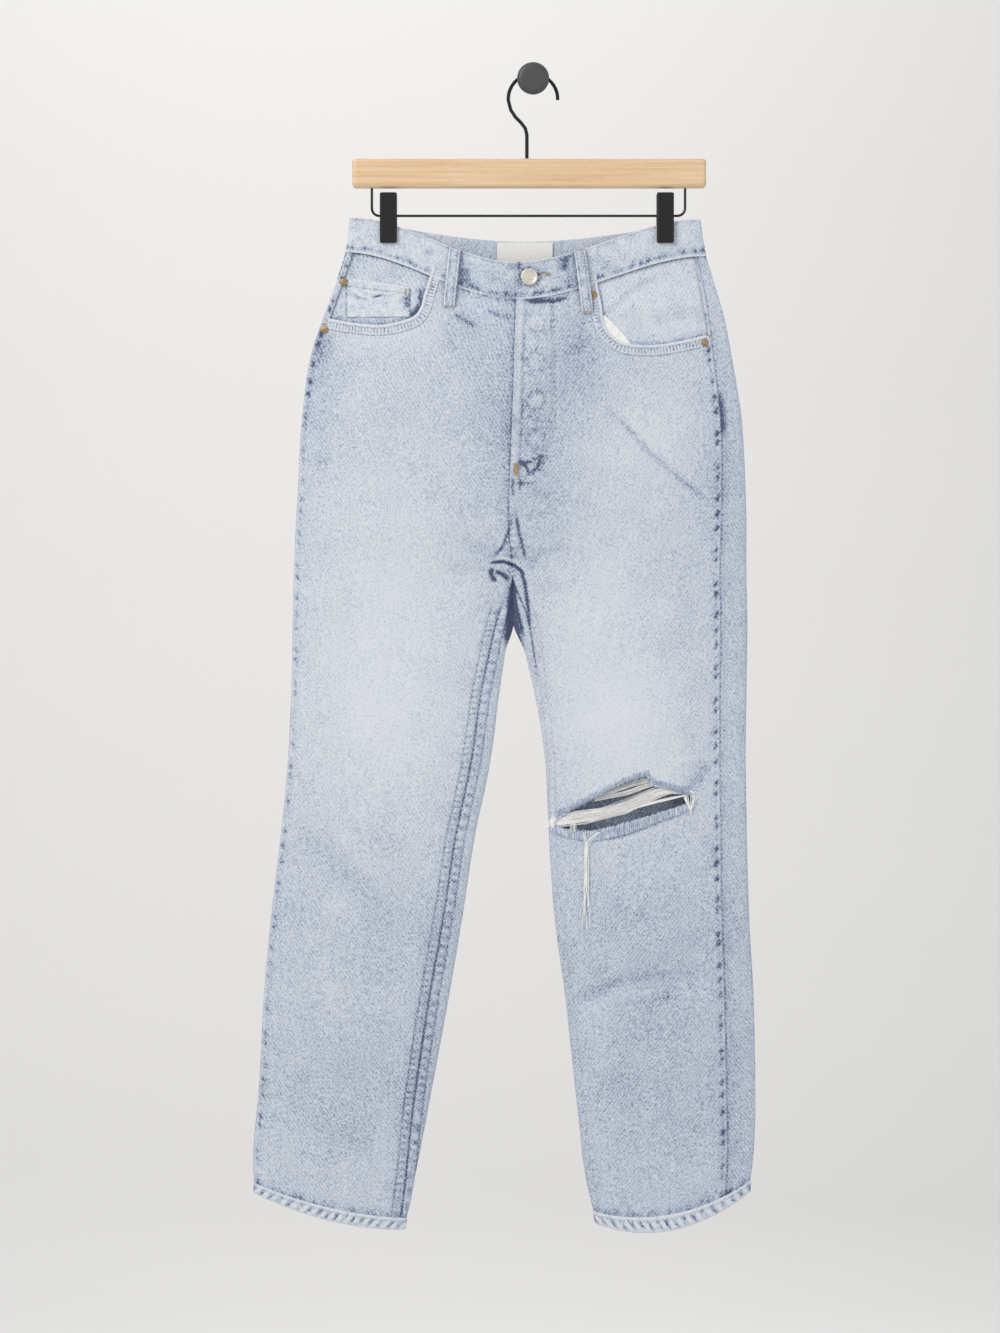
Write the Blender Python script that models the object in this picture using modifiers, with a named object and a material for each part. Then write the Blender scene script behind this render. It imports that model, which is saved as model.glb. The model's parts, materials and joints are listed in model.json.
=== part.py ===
"""Straight-leg jeans with a button fly, hung flat from a clip hanger on a wall peg.

The frame is metres with +Z up. The origin is the middle of the peg's flat back, which lies on a
wall at y = 0, and everything hangs in front of it at y < 0. Right and left are the wearer's, so
the right leg is at -X. The tables below are in millimetres, and so is every named size in MM.
"""

from collections import namedtuple
from functools import lru_cache
from math import acos, copysign, cos, exp, hypot, pi, sin, sqrt

import bmesh
import bpy
from mathutils import Vector

MM = 0.001

# Cloth
DENIM = 1.3 * MM
BAND = 2.6 * MM
BAND_LIFT = 0.5 * MM
HEM_LIFT = 0.7 * MM
GAP = 0.3 * MM
EDGE_SHARE = 0.28
EDGE_BEND = 0.35
FLY_LAP = 9.0
FLY_WIDTH = 38.0
FLY_LOW = -418.0
FLY_RAISE = 0.9

# Hanger and peg
WIRE_PLANE = -20.0 * MM
HOOK_WIRE = 1.9 * MM
HOOK_RADIUS = 26.0 * MM
RAIL_WIRE = 1.35 * MM
RAIL_Z = -142.0 * MM
RAIL_BEND = 8.0 * MM
RAIL_X = (-169.5 * MM, 160.0 * MM)
BAR_X = (-190.0 * MM, 182.0 * MM)
BAR_Z = (-113.0 * MM, -82.0 * MM)
BAR_THICK = 14.0 * MM
CLIP_X = (-152.0 * MM, 139.0 * MM)
CLIP_SIZE = (18.0 * MM, 17.6 * MM, 53.0 * MM)
CLIP_TOP = -118.0 * MM
CLIP_SLOT = 9.8 * MM
CLIP_SLOT_TOP = -145.4 * MM
CLIP_SLOT_LOW = -200.0 * MM
CLIP_REACH = 250.0 * MM
PEG_NECK = 5.0 * MM

# Bends of the hook's stem from the bar up to its arc, as x and z in mm.
HOOK_STEM_X = -6.4
HOOK_BENDS = [(HOOK_STEM_X, -70), (HOOK_STEM_X, -57), (-8, -50), (-12.5, -44), (-18.5, -38),
              (-23.4, -30.5)]

# The peg's side as radius and distance from the wall in mm: head, neck and flange.
PEG_PROFILE = [(0, 44), (12.1, 43.6), (15.1, 42.2), (16.8, 39), (16.8, 34.5), (15.1, 31.6),
               (10.1, 29.6), (5, 27.5), (5, 6), (10, 3.5), (11, 2.5), (11, 0), (0, 0)]

# One row for each section of a leg half, from the waist down. out_x and out_z are its outer fold,
# in_x its centre seam or inner fold, with front_z and back_z there. middle is the depth of its
# middle plane, and front and back are its half depths. swell says how late it opens, closed how
# far the inside closes round the leg. out_wrap and in_wrap are how far the back panel comes round
# each fold onto the front, and sag is how far the row hangs lower halfway.
Section = namedtuple(
    "Section",
    "name out_x out_z in_x front_z back_z middle front back swell closed out_wrap in_wrap sag",
)

SECTIONS = {
    "right": [
        Section("waist_top", -192, -144, -18, -192, -168, -20, 15, 12, 12.0, 0.0, 0, 0, 0),
        Section("waist_seam", -197, -180, -18, -231, -204, -20, 17, 13, 12.0, 0.0, 0, 0, 0),
        Section("pocket_mid", -210, -219, -19, -258, -236, -20, 18, 14, 3.0, 0.0, 0, 0, 0),
        Section("pocket_low", -223, -253, -20, -287, -270, -20, 18, 15, 2.0, 0.0, 0, 0, 0),
        Section("hip_upper", -236, -297, -21, -327, -313, -20, 18, 15, 1.5, 0.0, 0, 0, 0),
        Section("hip", -244, -358, -23, -381, -371, -19, 18, 15, 1.2, 0.0, 0, 0, 0),
        Section("seat", -248, -432, -25, -447, -440, -18, 17, 14, 1.1, 0.1, 0, 0, 0),
        Section("crotch_rise", -251, -479, -24, -489, -486, -17, 15, 13, 1.0, 0.5, 0, 0, 0),
        Section("crotch", -253, -524, -22.3, -524, -524, -16, 13, 12, 1.0, 1.0, 0, 0, 0),
        Section("thigh_top", -254, -568, -25, -568, -568, -16, 12, 11, 0.9, 1.0, 0, 13, 0),
        Section("thigh", -255, -642, -35, -642, -642, -16, 12, 11, 0.9, 1.0, 0, 19, 0),
        Section("above_knee", -259, -715, -45, -717, -717, -16, 12, 11, 0.9, 1.0, 0, 20, 0),
        Section("knee", -266, -789, -61, -795, -795, -16, 12, 11, 0.9, 1.0, 0, 20, 0),
        Section("below_knee", -275, -867, -74, -880, -880, -16, 11, 11, 0.9, 1.0, 0, 20, 0),
        Section("shin", -284, -957, -90, -973, -973, -15, 11, 10, 0.9, 1.0, 0, 20, 0),
        Section("calf", -289, -1056, -111, -1083, -1083, -14, 10, 9, 0.9, 1.0, 0, 15, 0),
        Section("ankle", -295, -1125, -125, -1158, -1158, -14, 9, 9, 0.9, 1.0, 0, 9, 3),
        Section("hem", -294, -1170, -136, -1209, -1209, -13, 9, 8, 0.9, 1.0, 0, 5, 9),
    ],
    "left": [
        Section("waist_top", 175, -146, -18, -192, -168, -20, 15, 12, 12.0, 0.0, 6, 0, 0),
        Section("waist_seam", 182, -184, -18, -231, -204, -20, 17, 13, 12.0, 0.0, 9, 0, 0),
        Section("pocket_mid", 193, -222, -19, -258, -236, -20, 18, 14, 3.0, 0.0, 12, 0, 0),
        Section("pocket_low", 202, -253, -20, -287, -270, -20, 18, 15, 2.0, 0.0, 16, 0, 0),
        Section("hip_upper", 210, -297, -21, -327, -313, -20, 18, 15, 1.5, 0.0, 19, 0, 0),
        Section("hip", 220, -358, -23, -381, -371, -19, 18, 15, 1.2, 0.0, 22, 0, 0),
        Section("seat", 224, -432, -25, -447, -440, -18, 17, 14, 1.1, 0.1, 25, 0, 0),
        Section("crotch_rise", 225, -479, -24, -489, -486, -17, 15, 13, 1.0, 0.5, 27, 0, 0),
        Section("crotch", 225, -524, -21.7, -524, -524, -16, 13, 12, 1.0, 1.0, 28, 0, 0),
        Section("thigh_top", 226, -568, -16, -568, -568, -16, 12, 11, 0.9, 1.0, 28, 11, 0),
        Section("thigh", 225, -642, 2, -642, -642, -16, 12, 11, 0.9, 1.0, 28, 4, 0),
        Section("above_knee", 224, -710, 13, -715, -715, -16, 12, 11, 0.9, 1.0, 27, 1, 0),
        Section("knee", 225, -783, 17, -794, -794, -16, 12, 11, 0.9, 1.0, 27, 0, 0),
        Section("below_knee", 227, -867, 23, -881, -881, -16, 11, 11, 0.9, 1.0, 28, 0, 0),
        Section("shin", 232, -957, 35, -971, -971, -15, 11, 10, 0.9, 1.0, 30, 0, 0),
        Section("calf", 234, -1051, 46, -1072, -1072, -14, 10, 9, 0.9, 1.0, 30, 0, 0),
        Section("ankle", 233, -1119, 55, -1148, -1148, -14, 9, 9, 0.9, 1.0, 28, 0, 9),
        Section("hem", 228, -1170, 67, -1203, -1203, -13, 9, 8, 0.9, 1.0, 26, 0, 22),
    ],
}

# A large fold runs from one point to another on the front or back, and rises or sinks by depth.
Fold = namedtuple("Fold", "face start end width depth")
FOLDS = [
    Fold("front", (64, -330), (200, -462), 13, -1.8),
    Fold("front", (-244, -785), (-140, -900), 30, -2.6),
    Fold("front", (-280, -1040), (-240, -1090), 16, -1.6),
    Fold("front", (40, -972), (166, -938), 15, -2.0),
    Fold("front", (-215, -268), (-195, -330), 14, -1.6),
    Fold("front", (50, -700), (150, -650), 32, 1.8),
    Fold("back", (-232, -520), (-70, -575), 24, -2.4),
    Fold("back", (200, -515), (40, -570), 24, -2.4),
    Fold("back", (-258, -800), (-90, -840), 24, -2.6),
    Fold("back", (210, -790), (40, -835), 22, -2.4),
    Fold("back", (-275, -1000), (-130, -965), 18, -1.8),
]

# Levels are places down the section table, where 1 is the waist seam and 17 the hem's edge.
WAIST_LEVELS = (0.0, 0.5, 1.0)
FRONT_LEVELS = (1, 1.5, 2, 2.5, 3, 3.5, 4, 5, 6, 6.5, 7, 7.5, 8, 8.5, 9, 9.5, 10, 11, 12, 13, 14, 15, 16)
BACK_LEVELS = (4, 5, 6, 6.5, 7, 7.5, 8, 8.5, 9, 9.5, 10, 11, 12, 13, 14, 15, 16)
HEM_TOP = 16.68
HEM_LEVELS = (HEM_TOP, HEM_TOP + 0.03, 17)
YOKE_SIDE = 2.0
YOKE_CENTRE = 3.25
COLUMNS = 16

# The pocket mouths, from the waist seam round to the side.
POCKET_RIGHT = [(-104, -195), (-109, -210), (-114, -227), (-118, -241), (-128, -251), (-157, -258),
                (-187, -256), (-214, -251)]
POCKET_LEFT = [(66, -205), (68, -219), (71, -236), (75, -259), (87, -273), (104, -279), (132, -279),
               (160, -274), (184, -268)]
POCKET_STRIP = 8.0
POCKET_INSET = 2.5
POCKET_CUT_TOP = -160.0
CUT_DEPTHS = (-60.0, 20.0)

# The waistband's right end passes under its left one, at these x and this far in, in mm.
LAP_LEFT = ((16, 3.4), (0, 3.4), (-12, 3.4))
LAP_RIGHT = ((-26, 3.4), (-44, 2.4), (-60, 0.6))

# The rip, its edge anticlockwise from its left end, seen from the front.
RIP = [(25, -783), (40, -788), (62, -786), (84, -779), (113, -770), (150, -761), (168, -756),
       (163, -750), (146, -745), (125, -741), (120, -731), (94, -739), (60, -756), (38, -768)]

# Places that a bundle of threads passes, in mm: x and z of its first thread there, the steps to the
# next thread, how far a thread waves to each side, and how far behind the cloth it lies.
Station = namedtuple("Station", "x z step_x step_z wave_x wave_z deep")
MAIN_WEFTS = [
    Station(30, -778.5, 0, -1.6, 0, 0, 0.4),
    Station(62, -770, 0, -1.7, 0, 0, 0.6),
    Station(98, -757, 0, -1.9, 3.6, -1.2, 0.8),
    Station(132, -747, 0, -2.0, 0, 0, 0.6),
    Station(172, -744, 0, -1.9, 2.4, 0, 0.4),
]
UPPER_WEFTS = [
    Station(124, -732, 0, -1.8, 0, 0, 1.6),
    Station(106, -740, 0, -2.3, 0, -1, 2.0),
    Station(86, -748, 0, -2.2, 0, 1, 2.2),
    Station(63, -757, 1.6, -0.6, 0, 0, 1.9),
]
FRINGE_LINE = [(34, -768), (60, -753), (94, -736), (120, -728)]
LIP_LINE = [(30, -789.5), (62, -790), (113, -774), (150, -765)]
FRAY_COUNT = 24

# Ends of the three threads that hang from the rip, as x, z and how far they bow, in mm.
HANGING_ENDS = ((50, -899, -2), (53, -882, 1), (61, -876, 3))

Loop = namedtuple("Loop", "name side face top foot")
LOOPS = [
    Loop("belt_loop_front_right", "right", 1, (-81, -171), (-88, -240)),
    Loop("belt_loop_front_left", "left", 1, (48, -176), (57, -246)),
    Loop("belt_loop_back_right", "right", -1, (-124, -162), (-127, -224)),
    Loop("belt_loop_back_left", "left", -1, (104, -162), (107, -224)),
    Loop("belt_loop_back_centre", "right", -1, (-9, -170), (-9, -236)),
]
LOOP_ROWS = 7
LOOP_WIDTH = 13.0
LOOP_THICK = 1.4 * MM
LOOP_BULGE = 2.4 * MM

Rivet = namedtuple("Rivet", "name side x z lift")
RIVETS = [
    Rivet("rivet_coin", "right", -199, -212, 0.0),
    Rivet("rivet_pocket_right", "right", -219, -262, 0.0),
    Rivet("rivet_pocket_left", "left", 180, -276, 0.0),
    Rivet("rivet_fly_side", "left", 63, -226, 0.8),
]
RIVET_RADIUS = 4.2 * MM
RIVET_RISE = 1.6 * MM
BUTTON_X = -4.2
BUTTON_Z = -208.0
BUTTON_RADIUS = 8.9 * MM

# Sides of the button and a rivet, as shares of the radius and of the height.
BUTTON_RISE = 4.0 * MM
BUTTON_SIDE = [(0, 0.9), (0.66, 0.825), (0.8, 1), (0.95, 0.9), (1, 0.7), (0.92, 0.5), (0.5, 0.45),
               (0.42, 0), (0, 0)]
RIVET_SIDE = [(0, 1), (0.35, 1), (0.5, 0.8), (0.8, 0.65), (1, 0.25), (1, 0), (0, 0)]

LABEL = (-38, 21, -190, -169)
COIN = (-190, -129, -247, -208)
FACING_LEVELS = (1.0, 1.5, 2.0, 2.5, 3.0, 3.5)
FACING_COLUMNS = {"right": (3, 12), "left": (1, 12)}

# The pocket cloth that shows inside the left mouth: its inner and its outer edge.
BAG_EDGES = [[(84, -250), (89, -257), (95, -262), (101, -268)],
             [(77, -257), (80, -264), (88, -269.5), (97, -274)]]

BACK_POCKET_X = {"right": -128.0, "left": 106.0}
BACK_POCKET_TOP = -292.0
BACK_POCKET_TAPER = 0.14
BACK_POCKET_WIDTH = 142.0
BACK_POCKET_HEIGHT = 150.0
BACK_POCKET_POINT = 26.0


def smooth(t):
    """Ease from 0 to 1."""
    t = max(0.0, min(1.0, t))
    return t * t * (3 - 2 * t)


def through(a, b, c, d, t):
    """Value between b and c on the smooth curve through a, b, c and d."""
    return 0.5 * (2 * b + (c - a) * t + (2 * a - 5 * b + 4 * c - d) * t * t
                  + (3 * b - 3 * c + d - a) * t ** 3)


@lru_cache(maxsize=None)
def section(side, level):
    """Section of a leg half at a level, between the rows of its table."""
    rows = SECTIONS[side]
    i = min(int(level), len(rows) - 2)
    near = [rows[max(i - 1, 0)], rows[i], rows[i + 1], rows[min(i + 2, len(rows) - 1)]]
    values = [through(*column, level - i) for column in zip(*(row[1:] for row in near))]
    row = Section(near[1].name, *values)
    closed = max(0.0, min(1.0, row.closed))
    return row._replace(closed=closed, in_wrap=row.in_wrap if closed == 1.0 else 0.0)


def limit_turn(row):
    """Turn at which a section reaches its centre seam or inner fold."""
    return pi / 2 * (1 + row.closed)


def inner_x(row, face):
    """The centre seam at the back lies beside the lapped fly edge at the front."""
    return row.in_x + (FLY_LAP * (1 - row.closed) if face < 0 else 0.0)


def relief(face, x, z):
    """How far the large folds raise or sink the cloth here."""
    rise = 0.0
    for fold in FOLDS:
        if (fold.face == "front") != (face > 0):
            continue
        dx, dz = fold.end[0] - fold.start[0], fold.end[1] - fold.start[1]
        length = hypot(dx, dz)
        along = ((x - fold.start[0]) * dx + (z - fold.start[1]) * dz) / length
        across = ((x - fold.start[0]) * dz - (z - fold.start[1]) * dx) / length
        ends = smooth(along / length * 3 + 0.5) * smooth((length - along) / length * 3 + 0.5)
        rise += fold.depth * exp(-(across / fold.width) ** 2) * ends
    return rise


def fly_raise(side, row, face, x, z):
    """The lapped fly stands proud, down to the turn of its J."""
    if side != "left" or face < 0:
        return 0.0
    from_edge = x - row.in_x
    reach = FLY_WIDTH * sqrt(max(0.0, min(1.0, (z - FLY_LOW) / 60.0)))
    return FLY_RAISE * smooth((reach - from_edge) / 10.0 + 0.5)


def flat_point(side, level, turn):
    """Point on the cloth's outside in mm. Turn runs from the outer fold over the front."""
    row = section(side, level)
    face = 1 if turn >= 0 else -1
    angle = abs(turn)
    if angle > pi and row.closed > 0.99:
        angle = 2 * pi - angle
        face = -face
    reach = (1 - cos(angle)) / (1 - cos(limit_turn(row)))
    x = row.out_x + (inner_x(row, face) - row.out_x) * reach
    in_z = row.front_z if face > 0 else row.back_z
    curved = smooth(reach) if face > 0 else sin(pi / 2 * reach)
    ease = curved * (1 - row.closed) + reach * row.closed
    z = row.out_z + (in_z - row.out_z) * ease - row.sag * 4 * reach * (1 - reach)
    half = row.front if face > 0 else row.back
    bend = max(0.0, sin(angle))
    edge = EDGE_SHARE * row.front
    depth = edge * bend ** EDGE_BEND + (half - edge) * bend ** row.swell
    depth += (relief(face, x, z) + fly_raise(side, row, face, x, z)) * smooth(bend * 2)
    return x, row.middle - face * depth, z


def cloth(side, level, turn, lift=0.0, along=0.0):
    """Point on the cloth in metres, moved out by lift and along the section by along."""
    x, y, z = flat_point(side, level, turn)
    ax, ay, _ = flat_point(side, level, turn - 0.02)
    bx, by, _ = flat_point(side, level, turn + 0.02)
    tangent = Vector((bx - ax, by - ay, 0)).normalized()
    hand = 1 if side == "right" else -1
    normal = Vector((hand * tangent.y, -hand * tangent.x, 0))
    return Vector((x, y, z)) * MM + normal * lift + tangent * along


def find(side, face, x, z):
    """Level and turn of the place on the cloth that shows at x and z in mm."""
    low, high = 0.0, float(len(SECTIONS[side]) - 1)
    for _ in range(26):
        level = (low + high) / 2
        row = section(side, level)
        reach = (x - row.out_x) / (inner_x(row, face) - row.out_x)
        turn = acos(max(-1.0, 1 - max(0.0, reach) * (1 - cos(limit_turn(row)))))
        if flat_point(side, level, face * turn)[2] > z:
            low = level
        else:
            high = level
    return level, face * turn


def on_cloth(side, face, x, z, lift):
    """Point moved out from the place on the cloth that shows at x and z in mm."""
    level, turn = find(side, face, x, z)
    return cloth(side, level, turn, lift)


def wrap_turn(row, wrap, span):
    """Turn that takes a seam a given way round from a fold."""
    width = abs(row.in_x - row.out_x)
    return copysign(acos(1 - abs(wrap) * span / width), wrap)


def outer_turn(row):
    """Turn of the side seam."""
    return wrap_turn(row, row.out_wrap, 1 - cos(limit_turn(row)))


def inner_turn(row):
    """Turn of the centre front seam, or of the inseam below the crotch."""
    return limit_turn(row) - wrap_turn(row, row.in_wrap, 2.0)


def spread(count):
    """Places from 0 to 1, closer at both ends, where the cloth bends."""
    even = [i / (count - 1) for i in range(count)]
    return [0.55 * t + 0.45 * (1 - cos(pi * t)) / 2 for t in even]


def front_turns(side, level):
    """Turns of a front panel's columns, from the side seam to its inner edge."""
    row = section(side, level)
    a, b = outer_turn(row), inner_turn(row)
    return [a + (b - a) * t for t in spread(COLUMNS)]


def back_turns(side, level):
    """Turns of a back panel's columns, from the side seam round to its inner edge."""
    row = section(side, level)
    a, b = outer_turn(row), -limit_turn(row) - wrap_turn(row, row.in_wrap, 2.0)
    return [a + (b - a) * t for t in spread(COLUMNS)]


def finish(name, colour, roughness, metallic=0.0):
    """Material with one plain colour, given as sRGB hex."""
    material = bpy.data.materials.new(name)
    material.use_nodes = True
    shader = material.node_tree.nodes["Principled BSDF"]
    srgb = [int(colour[i:i + 2], 16) / 255 for i in (0, 2, 4)]
    linear = [c / 12.92 if c <= 0.04045 else ((c + 0.055) / 1.055) ** 2.4 for c in srgb]
    shader.inputs["Base Color"].default_value = (*linear, 1)
    shader.inputs["Roughness"].default_value = roughness
    shader.inputs["Metallic"].default_value = metallic
    material.diffuse_color = (*linear, 1)
    return material


def collection(name):
    """New collection in the scene."""
    group = bpy.data.collections.new(name)
    bpy.context.scene.collection.children.link(group)
    return group


def keep(name, mesh, group, material=None):
    """Object for a mesh, in its group and with its material."""
    thing = bpy.data.objects.new(name, mesh)
    group.objects.link(thing)
    if material:
        mesh.materials.append(material)
    return thing


def from_bmesh(name, bm, group, material=None):
    """Object for a bmesh whose faces are turned to point out."""
    bmesh.ops.recalc_face_normals(bm, faces=bm.faces)
    mesh = bpy.data.meshes.new(name)
    bm.to_mesh(mesh)
    bm.free()
    return keep(name, mesh, group, material)


def loft(name, outside, inside, group, material):
    """Close two matching grids of points, the outside and inside of a wall, into one body."""
    bm = bmesh.new()
    out = [[bm.verts.new(p) for p in row] for row in outside]
    ins = [[bm.verts.new(p) for p in row] for row in inside]
    rows, columns = len(out), len(out[0])
    for i in range(rows - 1):
        for j in range(columns - 1):
            bm.faces.new((out[i][j], out[i][j + 1], out[i + 1][j + 1], out[i + 1][j]))
            bm.faces.new((ins[i][j], ins[i + 1][j], ins[i + 1][j + 1], ins[i][j + 1]))
    for i in range(rows - 1):
        for j in (0, columns - 1):
            bm.faces.new((out[i][j], out[i + 1][j], ins[i + 1][j], ins[i][j]))
    for j in range(columns - 1):
        for i in (0, rows - 1):
            bm.faces.new((out[i][j], out[i][j + 1], ins[i][j + 1], ins[i][j]))
    return from_bmesh(name, bm, group, material)


def panel(name, side, levels, turns, group, material, thick=DENIM, lift=0.0, hem=False):
    """Wall of cloth. A level is a number, or a function of the place across the panel."""
    outside, inside = [], []
    across = spread(COLUMNS)
    for k, level in enumerate(levels):
        drop = (k == len(levels) - 1) - (k == 0)
        raised = lift + (HEM_LIFT if hem and k >= len(levels) - 2 else 0.0)
        outside.append([])
        inside.append([])
        for j, t in enumerate(across):
            here = level(t) if callable(level) else float(level)
            turn = turns(side, here)[j]
            heading = 1 if turns is front_turns else -1
            pull = heading * ((j == 0) - (j == len(across) - 1)) * GAP / 2
            if hem and k == len(levels) - 1:
                drop = 0
            step = Vector((0, 0, drop * GAP / 2))
            outside[-1].append(cloth(side, here, turn, raised, pull) + step)
            inside[-1].append(cloth(side, here, turn, lift - thick, pull) + step)
    return loft(name, outside, inside, group, material)


def overlay(name, side, face, places, lifts, group, material, rises=None):
    """Piece that lies on the cloth: a grid of x and z in mm, moved out between two lifts.

    rises holds how much further out each row of the grid lies.
    """
    low, high = lifts
    rows = list(zip(places, rises or [0.0] * len(places)))
    outside = [[on_cloth(side, face, x, z, high + rise) for x, z in row] for row, rise in rows]
    inside = [[on_cloth(side, face, x, z, low + rise) for x, z in row] for row, rise in rows]
    return loft(name, outside, inside, group, material)


def hide(cutter):
    """Keep a cutter out of the part."""
    cutter.hide_render = True
    cutter.display_type = "WIRE"
    return cutter


def prism(name, outline, group):
    """Cutter with an outline of x and z in mm, deep enough for the front cloth."""
    near, far = CUT_DEPTHS
    bm = bmesh.new()
    face = bm.faces.new([bm.verts.new((x * MM, near * MM, z * MM)) for x, z in outline])
    made = bmesh.ops.extrude_face_region(bm, geom=[face])
    moved = [v for v in made["geom"] if isinstance(v, bmesh.types.BMVert)]
    bmesh.ops.translate(bm, verts=moved, vec=(0, (far - near) * MM, 0))
    return hide(from_bmesh(name, bm, group))


def cut(thing, cutter):
    """Take a cutter's shape out of a piece."""
    modifier = thing.modifiers.new(cutter.name, "BOOLEAN")
    modifier.operation = "DIFFERENCE"
    modifier.solver = "EXACT"
    modifier.object = cutter


def rounded(points, steps=3):
    """Smooth line through a few points."""
    line = []
    last = len(points) - 1
    for i in range(last):
        near = [points[max(i - 1, 0)], points[i], points[i + 1], points[min(i + 2, last)]]
        for k in range(steps):
            line.append(tuple(through(*column, k / steps) for column in zip(*near)))
    return line + [points[-1]]


def pocket_outline(side):
    """Outline of what a pocket mouth cuts from the front panel."""
    curve = rounded(POCKET_RIGHT if side == "right" else POCKET_LEFT)
    waist = section(side, 1.0)
    if side == "right":
        corner = (waist.out_x + POCKET_STRIP, waist.out_z)
    else:
        corner = (waist.out_x - waist.out_wrap - POCKET_INSET, waist.out_z)
    return [(curve[0][0], POCKET_CUT_TOP)] + curve + [corner, (corner[0], POCKET_CUT_TOP)]


def yoke_line(t):
    """Level of the seam under a yoke, a share of the way from the side to the centre."""
    return YOKE_SIDE + (YOKE_CENTRE - YOKE_SIDE) * t


def yoke_upper(t):
    """Level a third of the way down a yoke."""
    return 1.0 + (yoke_line(t) - 1.0) * 0.33


def yoke_lower(t):
    """Level two thirds of the way down a yoke."""
    return 1.0 + (yoke_line(t) - 1.0) * 0.67


def seat_upper(t):
    """Level halfway from the seam under a yoke to the first level of a back panel."""
    return 0.5 * yoke_line(t) + 0.5 * BACK_LEVELS[0]


def make_panels(parts, cutters, denim):
    """Four main panels, with the pocket mouths and the rip cut out, and the two yokes."""
    rip = prism("rip_cutter", RIP, cutters)
    for side in SECTIONS:
        front = panel("front_" + side, side, FRONT_LEVELS + HEM_LEVELS, front_turns, parts, denim,
                      hem=True)
        cut(front, prism("pocket_cutter_" + side, pocket_outline(side), cutters))
        if side == "left":
            cut(front, rip)
        panel("back_" + side, side, (yoke_line, seat_upper) + BACK_LEVELS + HEM_LEVELS, back_turns,
              parts, denim, hem=True)
        panel("yoke_" + side, side, (1.0, yoke_upper, yoke_lower, yoke_line), back_turns, parts,
              denim)


def band_places():
    """Side, turn and extra inward offset of each column of the waistband, end to end."""
    places = []
    for x, inward in LAP_LEFT:
        places.append(("left", find("left", 1, x, -208)[1], inward))
    for x, inward in LAP_RIGHT:
        places.append(("right", find("right", 1, x, -200)[1], inward))
    open_turn = pi / 2
    steps = [open_turn * (1 - 2 * t) for t in spread(26)]
    for turn in steps:
        if -open_turn + 0.01 < turn < places[-1][1] - 0.05:
            places.append(("right", turn, 0.0))
    for turn in reversed(steps):
        places.append(("left", turn, 0.0))
    return places


def make_waistband(parts, denim):
    """One folded strip round the waist, lapped at the front."""
    outside, inside = [], []
    places = band_places()
    for k, level in enumerate(WAIST_LEVELS):
        up = Vector((0, 0, GAP / 2 if k == len(WAIST_LEVELS) - 1 else 0))
        outside.append([])
        inside.append([])
        for side, turn, inward in places:
            lift = BAND_LIFT - inward * MM
            outside[-1].append(cloth(side, level, turn, lift) + up)
            inside[-1].append(cloth(side, level, turn, lift - BAND) + up)
    return loft("waistband", outside, inside, parts, denim)


def make_loops(parts, denim):
    """Five belt loops, each standing off the band a little between its two tacked ends."""
    low = BAND_LIFT + GAP + 0.3 * MM
    for loop in LOOPS:
        places, rises = [], []
        for i in range(LOOP_ROWS):
            t = i / (LOOP_ROWS - 1)
            x = loop.top[0] + (loop.foot[0] - loop.top[0]) * t
            z = loop.top[1] + (loop.foot[1] - loop.top[1]) * t
            places.append([(x - LOOP_WIDTH / 2, z), (x, z), (x + LOOP_WIDTH / 2, z)])
            rises.append(LOOP_BULGE * smooth(1.6 * sin(pi * t)))
        overlay(loop.name, loop.side, loop.face, places, (low, low + LOOP_THICK), parts, denim,
                rises)


def make_facings(parts, denim):
    """The hip pieces inside the pocket mouths, under the front panels."""
    for side in SECTIONS:
        first, last = FACING_COLUMNS[side]
        outside, inside = [], []
        for k, level in enumerate(FACING_LEVELS):
            turns = front_turns(side, level)[first:last]
            drop = Vector((0, 0, -GAP / 2 if k == 0 else 0))
            outside.append([cloth(side, level, t, -DENIM - GAP) + drop for t in turns])
            inside.append([cloth(side, level, t, -2 * DENIM - GAP) + drop for t in turns])
        loft("pocket_facing_" + side, outside, inside, parts, denim)


def grid_between(x0, x1, z0, z1, columns, rows):
    """Even grid of x and z places, from the top row down."""
    return [[(x0 + (x1 - x0) * i / (columns - 1), z1 + (z0 - z1) * k / (rows - 1))
             for i in range(columns)] for k in range(rows)]


def make_small_cloth(parts, denim, cotton, woven):
    """Coin pocket, pocket cloth, back pockets and the blank label."""
    lift = -DENIM - GAP
    x0, x1, z0, z1 = COIN
    overlay("coin_pocket", "right", 1, grid_between(x0, x1, z0, z1, 5, 4),
            (lift + 0.9 * MM, lift + 1.9 * MM), parts, denim)
    overlay("pocket_bag_left", "left", 1, BAG_EDGES, (lift + 0.5 * MM, lift + 1.5 * MM), parts,
            cotton)
    for side, middle in BACK_POCKET_X.items():
        places = []
        for k in range(7):
            t = k / 6
            half = BACK_POCKET_WIDTH / 2 * (1 - BACK_POCKET_TAPER * t)
            row = []
            for i in range(7):
                u = i / 3 - 1
                point = BACK_POCKET_POINT * (1 - abs(u)) * t
                z = BACK_POCKET_TOP - (BACK_POCKET_HEIGHT - BACK_POCKET_POINT) * t - point
                row.append((middle + u * half, z))
            places.append(row)
        overlay("back_pocket_" + side, side, -1, places, (0.7 * MM, 0.7 * MM + DENIM), parts, denim)
    x0, x1, z0, z1 = LABEL
    inside = BAND_LIFT - BAND
    overlay("label", "right", -1, grid_between(x0, x1, z0, z1, 5, 3),
            (inside - 1.2 * MM, inside - 0.5 * MM), parts, woven)


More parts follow.
